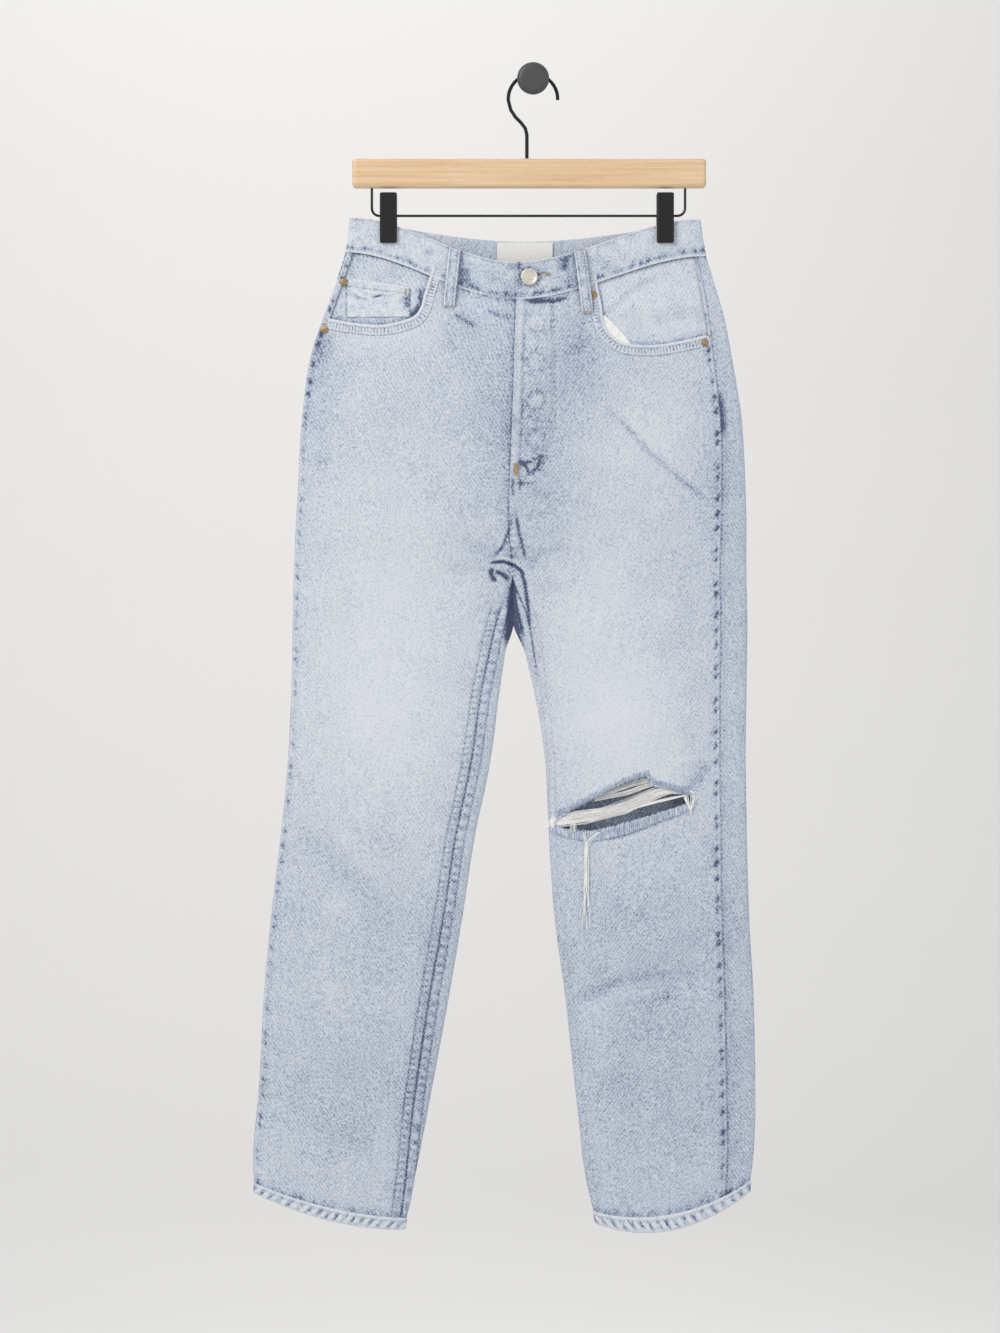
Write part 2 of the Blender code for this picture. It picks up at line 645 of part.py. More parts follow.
def turned(name, profile, group, material, steps=24):
    """Turned piece: a profile of radius and height in metres, down its outer side."""
    mesh = bpy.data.meshes.new(name)
    mesh.from_pydata([(r, 0, h) for r, h in profile], [(i, i + 1) for i in range(len(profile) - 1)], [])
    thing = keep(name, mesh, group, material)
    screw = thing.modifiers.new("turned", "SCREW")
    screw.steps = steps
    screw.render_steps = steps
    screw.use_merge_vertices = True
    screw.merge_threshold = 0.00001
    screw.use_smooth_shade = True
    return thing


def make_metal(parts, brass):
    """Waist button and the pocket rivets, each just off the cloth it is set in."""
    face = on_cloth("left", 1, BUTTON_X, BUTTON_Z, BAND_LIFT + GAP + 0.1 * MM)
    rim = [(BUTTON_RADIUS * a, BUTTON_RISE * b) for a, b in BUTTON_SIDE]
    button = turned("waist_button", rim, parts, brass)
    button.location = face
    button.rotation_euler = (pi / 2, 0, 0)
    for rivet in RIVETS:
        place = on_cloth(rivet.side, 1, rivet.x, rivet.z, 0.0)
        ahead = on_cloth(rivet.side, 1, rivet.x, rivet.z, 1 * MM) - place
        dome = [(RIVET_RADIUS * a, RIVET_RISE * b) for a, b in RIVET_SIDE]
        thing = turned(rivet.name, dome, parts, brass, 16)
        thing.location = place + ahead.normalized() * (GAP + 0.4 * MM + rivet.lift * MM)
        thing.rotation_euler = ahead.to_track_quat("Z", "Y").to_euler()


def strands(name, backing, routes, size, group, material):
    """Threads fused to a narrow backing strip.

    backing is the strip's line of points with one more point than there are strands, and
    normal and width directions; each route is the list of points that one strand follows.
    """
    points, across, deep = backing
    bm = bmesh.new()
    rings = []
    for p in points:
        rings.append([bm.verts.new(p + a + b) for a, b in
                      ((across, deep * 0), (across, deep), (across * 0, deep), (across * 0, deep * 0))])
    roots = []
    for a, b in zip(rings, rings[1:]):
        bm.faces.new((a[0], b[0], b[1], a[1]))
        bm.faces.new((a[1], b[1], b[2], a[2]))
        roots.append(bm.faces.new((a[2], b[2], b[3], a[3])))
        bm.faces.new((a[3], b[3], b[0], a[0]))
    bm.faces.new(rings[0])
    bm.faces.new(list(reversed(rings[-1])))
    for root, route in zip(roots, routes):
        if not route:
            continue
        face = root
        last = root.calc_center_median()
        for k, place in enumerate(route):
            made = bmesh.ops.extrude_discrete_faces(bm, faces=[face])
            face = made["faces"][0]
            heading = (place - last).normalized()
            scale = size[0] if k < len(route) - 1 else size[1]
            side = heading.cross(Vector((0, 1, 0)))
            if side.length < 0.1:
                side = Vector((1, 0, 0))
            side.normalize()
            up = heading.cross(side).normalized()
            corners = list(face.verts)
            middle = sum((v.co for v in corners), Vector()) / 4
            spots = [place + side * sx * scale + up * sy * scale
                     for sx, sy in ((-1, -1), (1, -1), (1, 1), (-1, 1))]
            order = best_match([v.co - middle for v in corners], [s - place for s in spots])
            for vert, spot in zip(corners, order):
                vert.co = place + spot
            last = place
    return from_bmesh(name, bm, group, material)


def best_match(corners, spots):
    """Order the four new corners so that the strand doesn't twist."""
    best = None
    for start in range(4):
        for step in (1, -1):
            order = [spots[(start + step * i) % 4] for i in range(4)]
            off = sum((a.normalized() - b.normalized()).length for a, b in zip(corners, order))
            if best is None or off < best[0]:
                best = (off, order)
    return best[1]


def between(points, t):
    """Point a given way along a line of places, with even steps between them."""
    span = t * (len(points) - 1)
    i = min(int(span), len(points) - 2)
    u = span - i
    return tuple(a + (b - a) * u for a, b in zip(points[i], points[i + 1]))


def behind(x, z, deep=0.0):
    """Point behind the front cloth of the left knee, deep in mm."""
    return on_cloth("left", 1, x, z, -DENIM - (0.5 + deep) * MM)


def weft_routes(stations, count, size, turn):
    """Routes of a bundle of threads, each waving a little in its own way."""
    routes = []
    for i in range(count):
        wave = size * sin(turn * i)
        routes.append([behind(s.x + s.step_x * i + s.wave_x * wave,
                              s.z + s.step_z * i + s.wave_z * wave, s.deep) for s in stations])
    return routes


def make_wefts(parts, cotton):
    """White threads that still cross the hole, in a main and an upper bundle."""
    count = 7
    strip = [behind(25, -776 - 1.6 * i, 1.2) for i in range(count + 1)]
    strands("rip_wefts_main", (strip, Vector((-3 * MM, 0, 0)), Vector((0, 0.8 * MM, 0))),
            weft_routes(MAIN_WEFTS, count, 1.0, 2.3), (0.45 * MM, 0.25 * MM), parts, cotton)
    count = 5
    strip = [behind(129 + 0.3 * i, -729.5 - 1.7 * i, 0.2) for i in range(count + 1)]
    strands("rip_wefts_upper", (strip, Vector((3 * MM, 0, 0)), Vector((0, 0.8 * MM, 0))),
            weft_routes(UPPER_WEFTS, count, 1.0, 1.7), (0.4 * MM, 0.25 * MM), parts, cotton)


def make_frays(parts, denim):
    """Frayed warp ends that hang over the hole, and the frayed lip that stands up below it."""
    count = FRAY_COUNT
    strip = [behind(x, z + 2) for x, z in (between(FRINGE_LINE, i / count) for i in range(count + 1))]
    routes = []
    for i in range(count):
        x, z = between(FRINGE_LINE, (i + 0.5) / count)
        drop = 5.0 + 2.6 * sin(2.1 * i) + 1.4 * sin(5.3 * i)
        lean = 1.2 * sin(3.7 * i)
        routes.append([behind(x + lean * 0.5, z - drop * 0.5, 0.3), behind(x + lean, z - drop, 0.3)])
    strands("rip_fringe", (strip, Vector((0, 0, 3 * MM)), Vector((0, 0.7 * MM, 0))), routes,
            (0.4 * MM, 0.2 * MM), parts, denim)

    front = 1.2 * MM
    strip = [on_cloth("left", 1, x, z - 3.5, front)
             for x, z in (between(LIP_LINE, i / count) for i in range(count + 1))]
    routes = []
    for i in range(count):
        x, z = between(LIP_LINE, (i + 0.5) / count)
        rise = 3.4 + 1.6 * sin(2.9 * i) + 1.0 * sin(4.7 * i)
        lean = 1.1 * sin(3.1 * i)
        routes.append([on_cloth("left", 1, x + lean * 0.5, z - 3.5 + rise * 0.5, front + 0.2 * MM),
                       on_cloth("left", 1, x + lean, z - 3.5 + rise, front + 0.5 * MM)])
    strands("rip_lip", (strip, Vector((0, 0, -2.5 * MM)), Vector((0, -0.7 * MM, 0))), routes,
            (0.4 * MM, 0.2 * MM), parts, denim)


def make_hanging_thread(parts, cotton):
    """Three threads that hang down from the hole's lower edge."""
    lift = 2.6 * MM
    strip = [on_cloth("left", 1, 54 + 1.1 * i, -790, lift) for i in range(len(HANGING_ENDS) + 1)]
    routes = []
    for i, (foot, low, bow) in enumerate(HANGING_ENDS):
        start = 54.5 + 1.1 * i
        routes.append([on_cloth("left", 1, start + (foot - start) * t + bow * sin(pi * t) * 0.6,
                                -793 + (low + 793) * t, lift - 0.4 * MM)
                       for t in (0.12, 0.3, 0.5, 0.7, 0.85, 1.0)])
    strands("hanging_thread", (strip, Vector((0, 0, 2 * MM)), Vector((0, -0.8 * MM, 0))), routes,
            (0.45 * MM, 0.2 * MM), parts, cotton)


def tube(name, points, radius, group, material, resolution=2):
    """Wire along a line of points, with closed ends."""
    curve = bpy.data.curves.new(name, "CURVE")
    curve.dimensions = "3D"
    spline = curve.splines.new("POLY")
    spline.points.add(len(points) - 1)
    for point, place in zip(spline.points, points):
        point.co = (*place, 1)
    curve.bevel_depth = radius
    curve.bevel_resolution = resolution
    curve.use_fill_caps = True
    curve.materials.append(material)
    thing = bpy.data.objects.new(name, curve)
    group.objects.link(thing)
    return thing


def arc(middle, radius, start, end, count):
    """Points on an arc in the wire's plane, angles in radians."""
    return [Vector((middle[0] + radius * cos(start + (end - start) * i / (count - 1)), WIRE_PLANE,
                    middle[1] + radius * sin(start + (end - start) * i / (count - 1))))
            for i in range(count)]


def box(name, low, high, bevel, group, material, segments=3):
    """Block between two corners, with rounded edges."""
    bm = bmesh.new()
    bmesh.ops.create_cube(bm, size=1)
    size = [b - a for a, b in zip(low, high)]
    bmesh.ops.scale(bm, vec=size, verts=bm.verts)
    bmesh.ops.translate(bm, vec=[(a + b) / 2 for a, b in zip(low, high)], verts=bm.verts)
    thing = from_bmesh(name, bm, group, material)
    if bevel:
        modifier = thing.modifiers.new("rounded", "BEVEL")
        modifier.width = bevel
        modifier.segments = segments
        modifier.limit_method = "NONE"
    return thing


def make_hanger(parts, cutters, wood, steel, plastic):
    """Wooden bar, wire hook, wire rail and two spring clips that pinch the waistband."""
    half = BAR_THICK / 2
    bar = box("hanger_bar", (BAR_X[0], WIRE_PLANE - half, BAR_Z[0]),
              (BAR_X[1], WIRE_PLANE + half, BAR_Z[1]), 4 * MM, parts, wood)
    bar.data.shade_smooth()

    centre = (0, PEG_NECK + GAP + HOOK_WIRE - HOOK_RADIUS)
    neck = [Vector((HOOK_STEM_X * MM, WIRE_PLANE, BAR_Z[1] + GAP))]
    neck += [Vector((x * MM, WIRE_PLANE, z * MM)) for x, z in HOOK_BENDS]
    tube("hanger_hook", neck + arc(centre, HOOK_RADIUS, pi + 0.06, -0.05, 22), HOOK_WIRE, parts,
         steel, 3)

    low = RAIL_Z + RAIL_BEND
    left, right = RAIL_X
    rail = [Vector((left, WIRE_PLANE, BAR_Z[0] - GAP))]
    rail += arc((left + RAIL_BEND, low), RAIL_BEND, pi, 1.5 * pi, 6)
    rail += arc((right - RAIL_BEND, low), RAIL_BEND, 1.5 * pi, 2 * pi, 6)
    rail.append(Vector((right, WIRE_PLANE, BAR_Z[0] - GAP)))
    tube("hanger_rail", rail, RAIL_WIRE, parts, steel)

    bore = bmesh.new()
    bmesh.ops.create_cone(bore, cap_ends=True, segments=16, radius1=RAIL_WIRE + GAP,
                          radius2=RAIL_WIRE + GAP, depth=2 * CLIP_REACH)
    bmesh.ops.rotate(bore, verts=bore.verts, matrix=Vector((0, 0, 1)).rotation_difference(
        Vector((1, 0, 0))).to_matrix())
    bmesh.ops.translate(bore, verts=bore.verts, vec=(0, WIRE_PLANE, RAIL_Z))
    bore = hide(from_bmesh("rail_cutter", bore, cutters))
    slot = hide(box("slot_cutter", (-CLIP_REACH, WIRE_PLANE - CLIP_SLOT / 2, CLIP_SLOT_LOW),
                    (CLIP_REACH, WIRE_PLANE + CLIP_SLOT / 2, CLIP_SLOT_TOP), 0, cutters, None))
    wide, deep, tall = CLIP_SIZE
    for name, x in zip(("clip_right", "clip_left"), CLIP_X):
        clip = box(name, (x - wide / 2, WIRE_PLANE - deep / 2, CLIP_TOP - tall),
                   (x + wide / 2, WIRE_PLANE + deep / 2, CLIP_TOP), 1.6 * MM, parts, plastic, 2)
        cut(clip, bore)
        cut(clip, slot)


def make_peg(parts, paint):
    """Turned wall peg: flat flange on the wall, neck for the hook and a broad rounded head."""
    peg = turned("wall_peg", [(r * MM, h * MM) for r, h in PEG_PROFILE], parts, paint, 32)
    peg.rotation_euler = (pi / 2, 0, 0)


def main():
    """Build the part in an empty scene."""
    for thing in list(bpy.data.objects):
        bpy.data.objects.remove(thing)
    parts = collection("jeans_on_hanger")
    cutters = collection("cutters")
    denim = finish("washed_denim", "BAC8DA", 0.9)
    cotton = finish("white_cotton", "EFEDE4", 0.9)
    woven = finish("woven_label", "E9E4D3", 0.85)
    brass = finish("pale_brass", "CDBF9C", 0.35, 1.0)
    wood = finish("beech", "E6C396", 0.55)
    steel = finish("black_wire", "33322F", 0.4, 0.6)
    plastic = finish("black_plastic", "1E2023", 0.5)
    paint = finish("charcoal_paint", "3E3E40", 0.5)

    make_panels(parts, cutters, denim)
    make_waistband(parts, denim)
    make_facings(parts, denim)
    make_loops(parts, denim)
    make_small_cloth(parts, denim, cotton, woven)
    make_metal(parts, brass)
    make_wefts(parts, cotton)
    make_frays(parts, denim)
    make_hanging_thread(parts, cotton)
    make_hanger(parts, cutters, wood, steel, plastic)
    make_peg(parts, paint)
    bpy.context.view_layer.update()


main()
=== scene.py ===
# %% [markdown]
# Light-wash jeans hang flat from a clip hanger on a round wall peg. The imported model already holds
# every piece at its real size and place. This lesson dresses that model: each cloth solid gets a
# finer shell with creases, seams and a washed denim finish, and the hard parts get their finishes.
# The frame is metres with +Z up, the wall behind is at y = 0, and the viewer stands at -Y.

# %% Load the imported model
import json
from collections import namedtuple
from functools import lru_cache
from math import acos, copysign, cos, exp, hypot, pi, radians, sin, sqrt

import bmesh
import bpy
from mathutils import Matrix, Vector, noise

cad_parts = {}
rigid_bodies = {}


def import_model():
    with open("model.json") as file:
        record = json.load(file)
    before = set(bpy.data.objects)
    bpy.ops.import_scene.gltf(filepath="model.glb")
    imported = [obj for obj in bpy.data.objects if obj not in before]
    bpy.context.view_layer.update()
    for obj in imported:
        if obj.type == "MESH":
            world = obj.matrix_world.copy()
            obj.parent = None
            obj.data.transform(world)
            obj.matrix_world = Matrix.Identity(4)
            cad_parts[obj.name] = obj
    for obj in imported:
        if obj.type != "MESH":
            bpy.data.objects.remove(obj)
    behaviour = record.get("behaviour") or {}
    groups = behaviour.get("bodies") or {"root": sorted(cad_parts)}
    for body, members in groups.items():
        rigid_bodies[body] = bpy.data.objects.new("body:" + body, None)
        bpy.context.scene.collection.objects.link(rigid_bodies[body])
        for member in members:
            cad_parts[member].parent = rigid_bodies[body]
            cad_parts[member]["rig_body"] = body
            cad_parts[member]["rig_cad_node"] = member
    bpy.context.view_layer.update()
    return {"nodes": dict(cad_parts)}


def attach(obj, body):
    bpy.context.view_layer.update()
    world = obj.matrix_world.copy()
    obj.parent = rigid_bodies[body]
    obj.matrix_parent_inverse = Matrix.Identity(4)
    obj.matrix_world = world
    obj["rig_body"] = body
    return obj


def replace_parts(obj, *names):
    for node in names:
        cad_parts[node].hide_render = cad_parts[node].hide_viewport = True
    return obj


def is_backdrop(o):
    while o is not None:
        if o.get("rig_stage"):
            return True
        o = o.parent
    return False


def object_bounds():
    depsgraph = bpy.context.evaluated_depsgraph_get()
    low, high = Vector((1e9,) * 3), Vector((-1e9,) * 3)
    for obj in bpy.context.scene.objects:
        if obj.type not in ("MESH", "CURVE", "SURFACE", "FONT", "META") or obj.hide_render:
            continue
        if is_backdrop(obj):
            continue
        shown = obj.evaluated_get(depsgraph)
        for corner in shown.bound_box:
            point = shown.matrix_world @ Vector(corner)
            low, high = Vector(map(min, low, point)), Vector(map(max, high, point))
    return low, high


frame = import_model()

MM = 0.001

# %% [markdown]
# A few small helpers serve every finish and piece. Colours are written as sRGB hex, as a paint card
# gives them, and Blender wants them linear. A node is added with its settings and links in one call,
# so that each finish below reads as a list of what it is made of. Most finishes here are speckled:
# one noise, sized in millimetres, varies both the colour and the skin.

# %% Helpers for finishes and pieces


def linear(code):
    """Linear colour with alpha, from an sRGB hex value."""
    srgb = [int(code[i:i + 2], 16) / 255 for i in (0, 2, 4)]
    return (*[c / 12.92 if c <= 0.04045 else ((c + 0.055) / 1.055) ** 2.4 for c in srgb], 1)


def add(tree, kind, settings=None, links=None):
    """Add a node. Settings are its properties, its sockets' values or a ramp's stops of hex colour."""
    node = tree.nodes.new("ShaderNode" + kind)
    for key, value in (settings or {}).items():
        if key == "stops":
            bar = node.color_ramp.elements
            while len(bar) < len(value):
                bar.new(0.5)
            for stop, (position, code) in zip(bar, value):
                stop.position = position
                stop.color = linear(code)
        elif isinstance(key, str) and hasattr(node, key):
            setattr(node, key, value)
        else:
            node.inputs[key].default_value = value
    for key, source in (links or {}).items():
        tree.links.new(source, node.inputs[key])
    return node


def new_finish(name, code, roughness, **more):
    """Material with its shader's plain values set. Returns it, its tree and its shader."""
    made = bpy.data.materials.new(name)
    made.use_nodes = True
    made.diffuse_color = linear(code)
    shader = made.node_tree.nodes["Principled BSDF"]
    shader.inputs["Base Color"].default_value = linear(code)
    shader.inputs["Roughness"].default_value = roughness
    for socket, value in more.items():
        shader.inputs[socket.replace("_", " ")].default_value = value
    return made, made.node_tree, shader


def summed(tree, start, terms):
    """Sum of a starting number and terms of source, gain and the source's middle value."""
    total = None
    for source, gain, middle in terms:
        offset = -gain * middle + (start if total is None else 0.0)
        part = add(tree, "Math", {"operation": "MULTIPLY_ADD", 1: gain, 2: offset}, {0: source})
        if total is None:
            total = part.outputs[0]
        else:
            total = add(tree, "Math", {"operation": "ADD"}, {0: total, 1: part.outputs[0]}).outputs[0]
    return total


def paint(tree, shader, value, stops, height, strength, relief_mm):
    """Colour a shader by the stops of a value, and raise its skin by a height."""
    colour = add(tree, "ValToRGB", {"stops": stops}, {0: value})
    tree.links.new(colour.outputs["Color"], shader.inputs["Base Color"])
    if strength:
        bump = add(tree, "Bump", {"Strength": strength, "Distance": relief_mm * MM}, {"Height": height})
        tree.links.new(bump.outputs["Normal"], shader.inputs["Normal"])


def patches(tree, size_mm, **settings):
    """Noise on the object's coordinates. Its size in mm is one number, or one for each axis."""
    sizes = size_mm if isinstance(size_mm, tuple) else (size_mm,) * 3
    where = add(tree, "TexCoord").outputs["Object"]
    sized = add(tree, "Mapping", {"Scale": [1 / (size * MM) for size in sizes]}, {"Vector": where})
    return add(tree, "TexNoise", {"Scale": 1.0, **settings}, {"Vector": sized.outputs[0]}).outputs[0]


def speckled(name, stops, roughness, size_mm, strength=0.0, relief_mm=0.1, detail=2.0, **more):
    """Finish whose colour and skin vary in specks of a size in mm."""
    made, tree, shader = new_finish(name, stops[0][1], roughness, **more)
    speck = patches(tree, size_mm, Detail=detail)
    paint(tree, shader, speck, stops, speck, strength, relief_mm)
    return made


def put(name, data):
    """Object for a mesh, curve, light or camera, linked to the scene."""
    thing = bpy.data.objects.new(name, data)
    bpy.context.scene.collection.objects.link(thing)
    return thing


def to_mesh(name, bm):
    """Mesh of a finished bmesh, which is then freed."""
    mesh = bpy.data.meshes.new(name)
    bm.to_mesh(mesh)
    bm.free()
    return mesh


print("helpers ready")

# %% [markdown]
# The camera stands level with the knees, about 3.9 m away, as the photograph's perspective shows: the
# peg is seen a little from below. The set is a pale sweep far behind and well below, so that it stays
# out of the way when the jeans are seen from the back. The light is a broad window, high at the left.

# %% Camera, sweep and lights
LENS_MM = 100.0
CAMERA_AT = Vector((-0.0347, -3.915, -0.616))
SWEEP_BACK = 7.5
SWEEP_FRONT = 9.0
SWEEP_FLOOR = -2.1
SWEEP_WIDE = 26.0
SWEEP_LONG = 26.0
SWEEP_BEND = 3.0

camera = put("camera", bpy.data.cameras.new("camera"))
camera.data.lens = LENS_MM
camera.location = CAMERA_AT
camera.rotation_euler = (pi / 2, 0, 0)
bpy.context.scene.camera = camera

bm = bmesh.new()
bmesh.ops.create_grid(bm, x_segments=2, y_segments=40, size=0.5)
straight = SWEEP_BACK - SWEEP_BEND + SWEEP_FRONT
for vert in bm.verts:
    along = (vert.co.y + 0.5) * SWEEP_LONG
    turn = min(max((along - straight) / SWEEP_BEND, 0.0), pi / 2)
    beyond = max(along - straight - SWEEP_BEND * pi / 2, 0.0)
    depth = min(along, straight) - SWEEP_FRONT + SWEEP_BEND * sin(turn)
    height = SWEEP_FLOOR + SWEEP_BEND * (1 - cos(turn)) + beyond
    vert.co = Vector((vert.co.x * SWEEP_WIDE, depth, height))
sweep = put("sweep", to_mesh("sweep", bm))
sweep.data.shade_smooth()
sweep.data.materials.append(new_finish("matte paper", "DEDDDC", 0.95)[0])
sweep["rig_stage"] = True


def window(name, where, aim, size, power, code):
    """Square area light, aimed at a point."""
    light = bpy.data.lights.new(name, "AREA")
    light.size = size
    light.energy = power
    light.color = linear(code)[:3]
    thing = put(name, light)
    thing.location = where
    thing.rotation_euler = (Vector(aim) - Vector(where)).to_track_quat("-Z", "Y").to_euler()


window("window", (-2.6, -2.6, 1.8), (0, 0, -0.55), 1.4, 84, "FFFBF5")
window("room fill", (3.0, -3.2, -0.4), (0, 0, -0.6), 3.0, 30, "F4F6FF")
window("back fill", (0.5, 4.0, 1.2), (0, 0, -0.6), 3.0, 45, "FFFFFF")
window("sweep light", (-0.8, 3.6, 3.0), (0.0, 7.5, 1.4), 3.5, 142, "FFFDF8")
bpy.context.scene.view_settings.view_transform = "Standard"
world = bpy.data.worlds.new("room")
bpy.context.scene.world = world
world.use_nodes = True
sky = world.node_tree.nodes["Background"].inputs
sky["Color"].default_value = linear("EEF0F4")
sky["Strength"].default_value = 0.62
print("camera", tuple(camera.location), "lens", LENS_MM)

# %% [markdown]
# The garment is a surface over two numbers. A level runs down the leg through a short table of
# sections, and a turn runs round each section from the outer fold over the front. Every shell,
# stitch and thread below is put on this one surface, so nothing has to be fitted by eye. The tables
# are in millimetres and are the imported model's own. Only the rip's lower edge lies a little lower, as
# the photograph shows it. Right and left are the wearer's.

# %% The garment's sections
DENIM = 1.3 * MM
BAND = 2.6 * MM
BAND_LIFT = 0.5 * MM
EDGE_SHARE = 0.28
EDGE_BEND = 0.35
FLY_LAP = 9.0
FLY_WIDTH = 38.0
FLY_LOW = -418.0
FLY_RAISE = 0.9

Section = namedtuple(
    "Section",
    "name out_x out_z in_x front_z back_z middle front back swell closed out_wrap in_wrap sag",
)
SECTIONS = {
    "right": [
        Section("waist_top", -192, -144, -18, -192, -168, -20, 15, 12, 12.0, 0.0, 0, 0, 0),
        Section("waist_seam", -197, -180, -18, -231, -204, -20, 17, 13, 12.0, 0.0, 0, 0, 0),
        Section("pocket_mid", -210, -219, -19, -258, -236, -20, 18, 14, 3.0, 0.0, 0, 0, 0),
        Section("pocket_low", -223, -253, -20, -287, -270, -20, 18, 15, 2.0, 0.0, 0, 0, 0),
        Section("hip_upper", -236, -297, -21, -327, -313, -20, 18, 15, 1.5, 0.0, 0, 0, 0),
        Section("hip", -244, -358, -23, -381, -371, -19, 18, 15, 1.2, 0.0, 0, 0, 0),
        Section("seat", -248, -432, -25, -447, -440, -18, 17, 14, 1.1, 0.1, 0, 0, 0),
        Section("crotch_rise", -251, -479, -24, -489, -486, -17, 15, 13, 1.0, 0.5, 0, 0, 0),
        Section("crotch", -253, -524, -22.3, -524, -524, -16, 13, 12, 1.0, 1.0, 0, 0, 0),
        Section("thigh_top", -254, -568, -25, -568, -568, -16, 12, 11, 0.9, 1.0, 0, 13, 0),
        Section("thigh", -255, -642, -35, -642, -642, -16, 12, 11, 0.9, 1.0, 0, 19, 0),
        Section("above_knee", -259, -715, -45, -717, -717, -16, 12, 11, 0.9, 1.0, 0, 20, 0),
        Section("knee", -266, -789, -61, -795, -795, -16, 12, 11, 0.9, 1.0, 0, 20, 0),
        Section("below_knee", -275, -867, -74, -880, -880, -16, 11, 11, 0.9, 1.0, 0, 20, 0),
        Section("shin", -284, -957, -90, -973, -973, -15, 11, 10, 0.9, 1.0, 0, 20, 0),
        Section("calf", -289, -1056, -111, -1083, -1083, -14, 10, 9, 0.9, 1.0, 0, 15, 0),
        Section("ankle", -295, -1125, -125, -1158, -1158, -14, 9, 9, 0.9, 1.0, 0, 9, 3),
        Section("hem", -294, -1170, -136, -1209, -1209, -13, 9, 8, 0.9, 1.0, 0, 5, 9),
    ],
    "left": [
        Section("waist_top", 175, -146, -18, -192, -168, -20, 15, 12, 12.0, 0.0, 6, 0, 0),
        Section("waist_seam", 182, -184, -18, -231, -204, -20, 17, 13, 12.0, 0.0, 9, 0, 0),
        Section("pocket_mid", 193, -222, -19, -258, -236, -20, 18, 14, 3.0, 0.0, 12, 0, 0),
        Section("pocket_low", 202, -253, -20, -287, -270, -20, 18, 15, 2.0, 0.0, 16, 0, 0),
        Section("hip_upper", 210, -297, -21, -327, -313, -20, 18, 15, 1.5, 0.0, 19, 0, 0),
        Section("hip", 220, -358, -23, -381, -371, -19, 18, 15, 1.2, 0.0, 22, 0, 0),
        Section("seat", 224, -432, -25, -447, -440, -18, 17, 14, 1.1, 0.1, 25, 0, 0),
        Section("crotch_rise", 225, -479, -24, -489, -486, -17, 15, 13, 1.0, 0.5, 27, 0, 0),
        Section("crotch", 225, -524, -21.7, -524, -524, -16, 13, 12, 1.0, 1.0, 28, 0, 0),
        Section("thigh_top", 226, -568, -16, -568, -568, -16, 12, 11, 0.9, 1.0, 28, 11, 0),
        Section("thigh", 225, -642, 2, -642, -642, -16, 12, 11, 0.9, 1.0, 28, 4, 0),
        Section("above_knee", 224, -710, 13, -715, -715, -16, 12, 11, 0.9, 1.0, 27, 1, 0),
        Section("knee", 225, -783, 17, -794, -794, -16, 12, 11, 0.9, 1.0, 27, 0, 0),
        Section("below_knee", 227, -867, 23, -881, -881, -16, 11, 11, 0.9, 1.0, 28, 0, 0),
        Section("shin", 232, -957, 35, -971, -971, -15, 11, 10, 0.9, 1.0, 30, 0, 0),
        Section("calf", 234, -1051, 46, -1072, -1072, -14, 10, 9, 0.9, 1.0, 30, 0, 0),
        Section("ankle", 233, -1119, 55, -1148, -1148, -14, 9, 9, 0.9, 1.0, 28, 0, 9),
        Section("hem", 228, -1170, 67, -1203, -1203, -13, 9, 8, 0.9, 1.0, 26, 0, 22),
    ],
}
RIP = [(22, -782), (38, -788), (62, -788.5), (84, -783.5), (113, -775.5), (150, -764), (168, -757),
       (163, -750), (146, -745), (125, -741), (120, -731), (94, -739), (60, -756), (38, -768)]
HEM_TOP = 16.68
BAND_ROW_MM = 37.0
WAIST_ROW_MM = 36.0
HEM_ROW_MM = 45.0
YOKE_SIDE = 2.0
YOKE_CENTRE = 3.25

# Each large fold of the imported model, from one point to another, with its width and depth.
Fold = namedtuple("Fold", "face start end width depth")
FOLDS = [
    Fold("front", (64, -330), (200, -462), 13, -1.8),
    Fold("front", (-244, -785), (-140, -900), 30, -2.6),
    Fold("front", (-280, -1040), (-240, -1090), 16, -1.6),
    Fold("front", (40, -972), (166, -938), 15, -2.0),
    Fold("front", (-215, -268), (-195, -330), 14, -1.6),
    Fold("front", (50, -700), (150, -650), 32, 1.8),
    Fold("back", (-232, -520), (-70, -575), 24, -2.4),
    Fold("back", (200, -515), (40, -570), 24, -2.4),
    Fold("back", (-258, -800), (-90, -840), 24, -2.6),
    Fold("back", (210, -790), (40, -835), 22, -2.4),
    Fold("back", (-275, -1000), (-130, -965), 18, -1.8),
]
print("sections", {side: len(rows) for side, rows in SECTIONS.items()})

# %% [markdown]
# A place on the surface comes from its section: the depth swells from a tight fold at each side to
# the middle of the panel, as cloth does when two layers hang pressed together. The place that shows
# at a given x and z is found by halving, because both edges of a leg slant.

# %% The garment's surface


def smooth(t):
    """Ease from 0 to 1."""
    t = max(0.0, min(1.0, t))
    return t * t * (3 - 2 * t)


def through(a, b, c, d, t):
    """Value between b and c on the smooth curve through a, b, c and d."""
    return 0.5 * (2 * b + (c - a) * t + (2 * a - 5 * b + 4 * c - d) * t * t
                  + (3 * b - 3 * c + d - a) * t ** 3)


@lru_cache(maxsize=None)
def section(side, level):
    """Section of a leg half at a level, between the rows of its table."""
    rows = SECTIONS[side]
    i = min(int(level), len(rows) - 2)
    near = [rows[max(i - 1, 0)], rows[i], rows[i + 1], rows[min(i + 2, len(rows) - 1)]]
    values = [through(*column, level - i) for column in zip(*(row[1:] for row in near))]
    row = Section(near[1].name, *values)
    closed = max(0.0, min(1.0, row.closed))
    return row._replace(closed=closed, in_wrap=row.in_wrap if closed == 1.0 else 0.0)


def limit_turn(row):
    """Turn at which a section reaches its centre seam or inner fold."""
    return pi / 2 * (1 + row.closed)


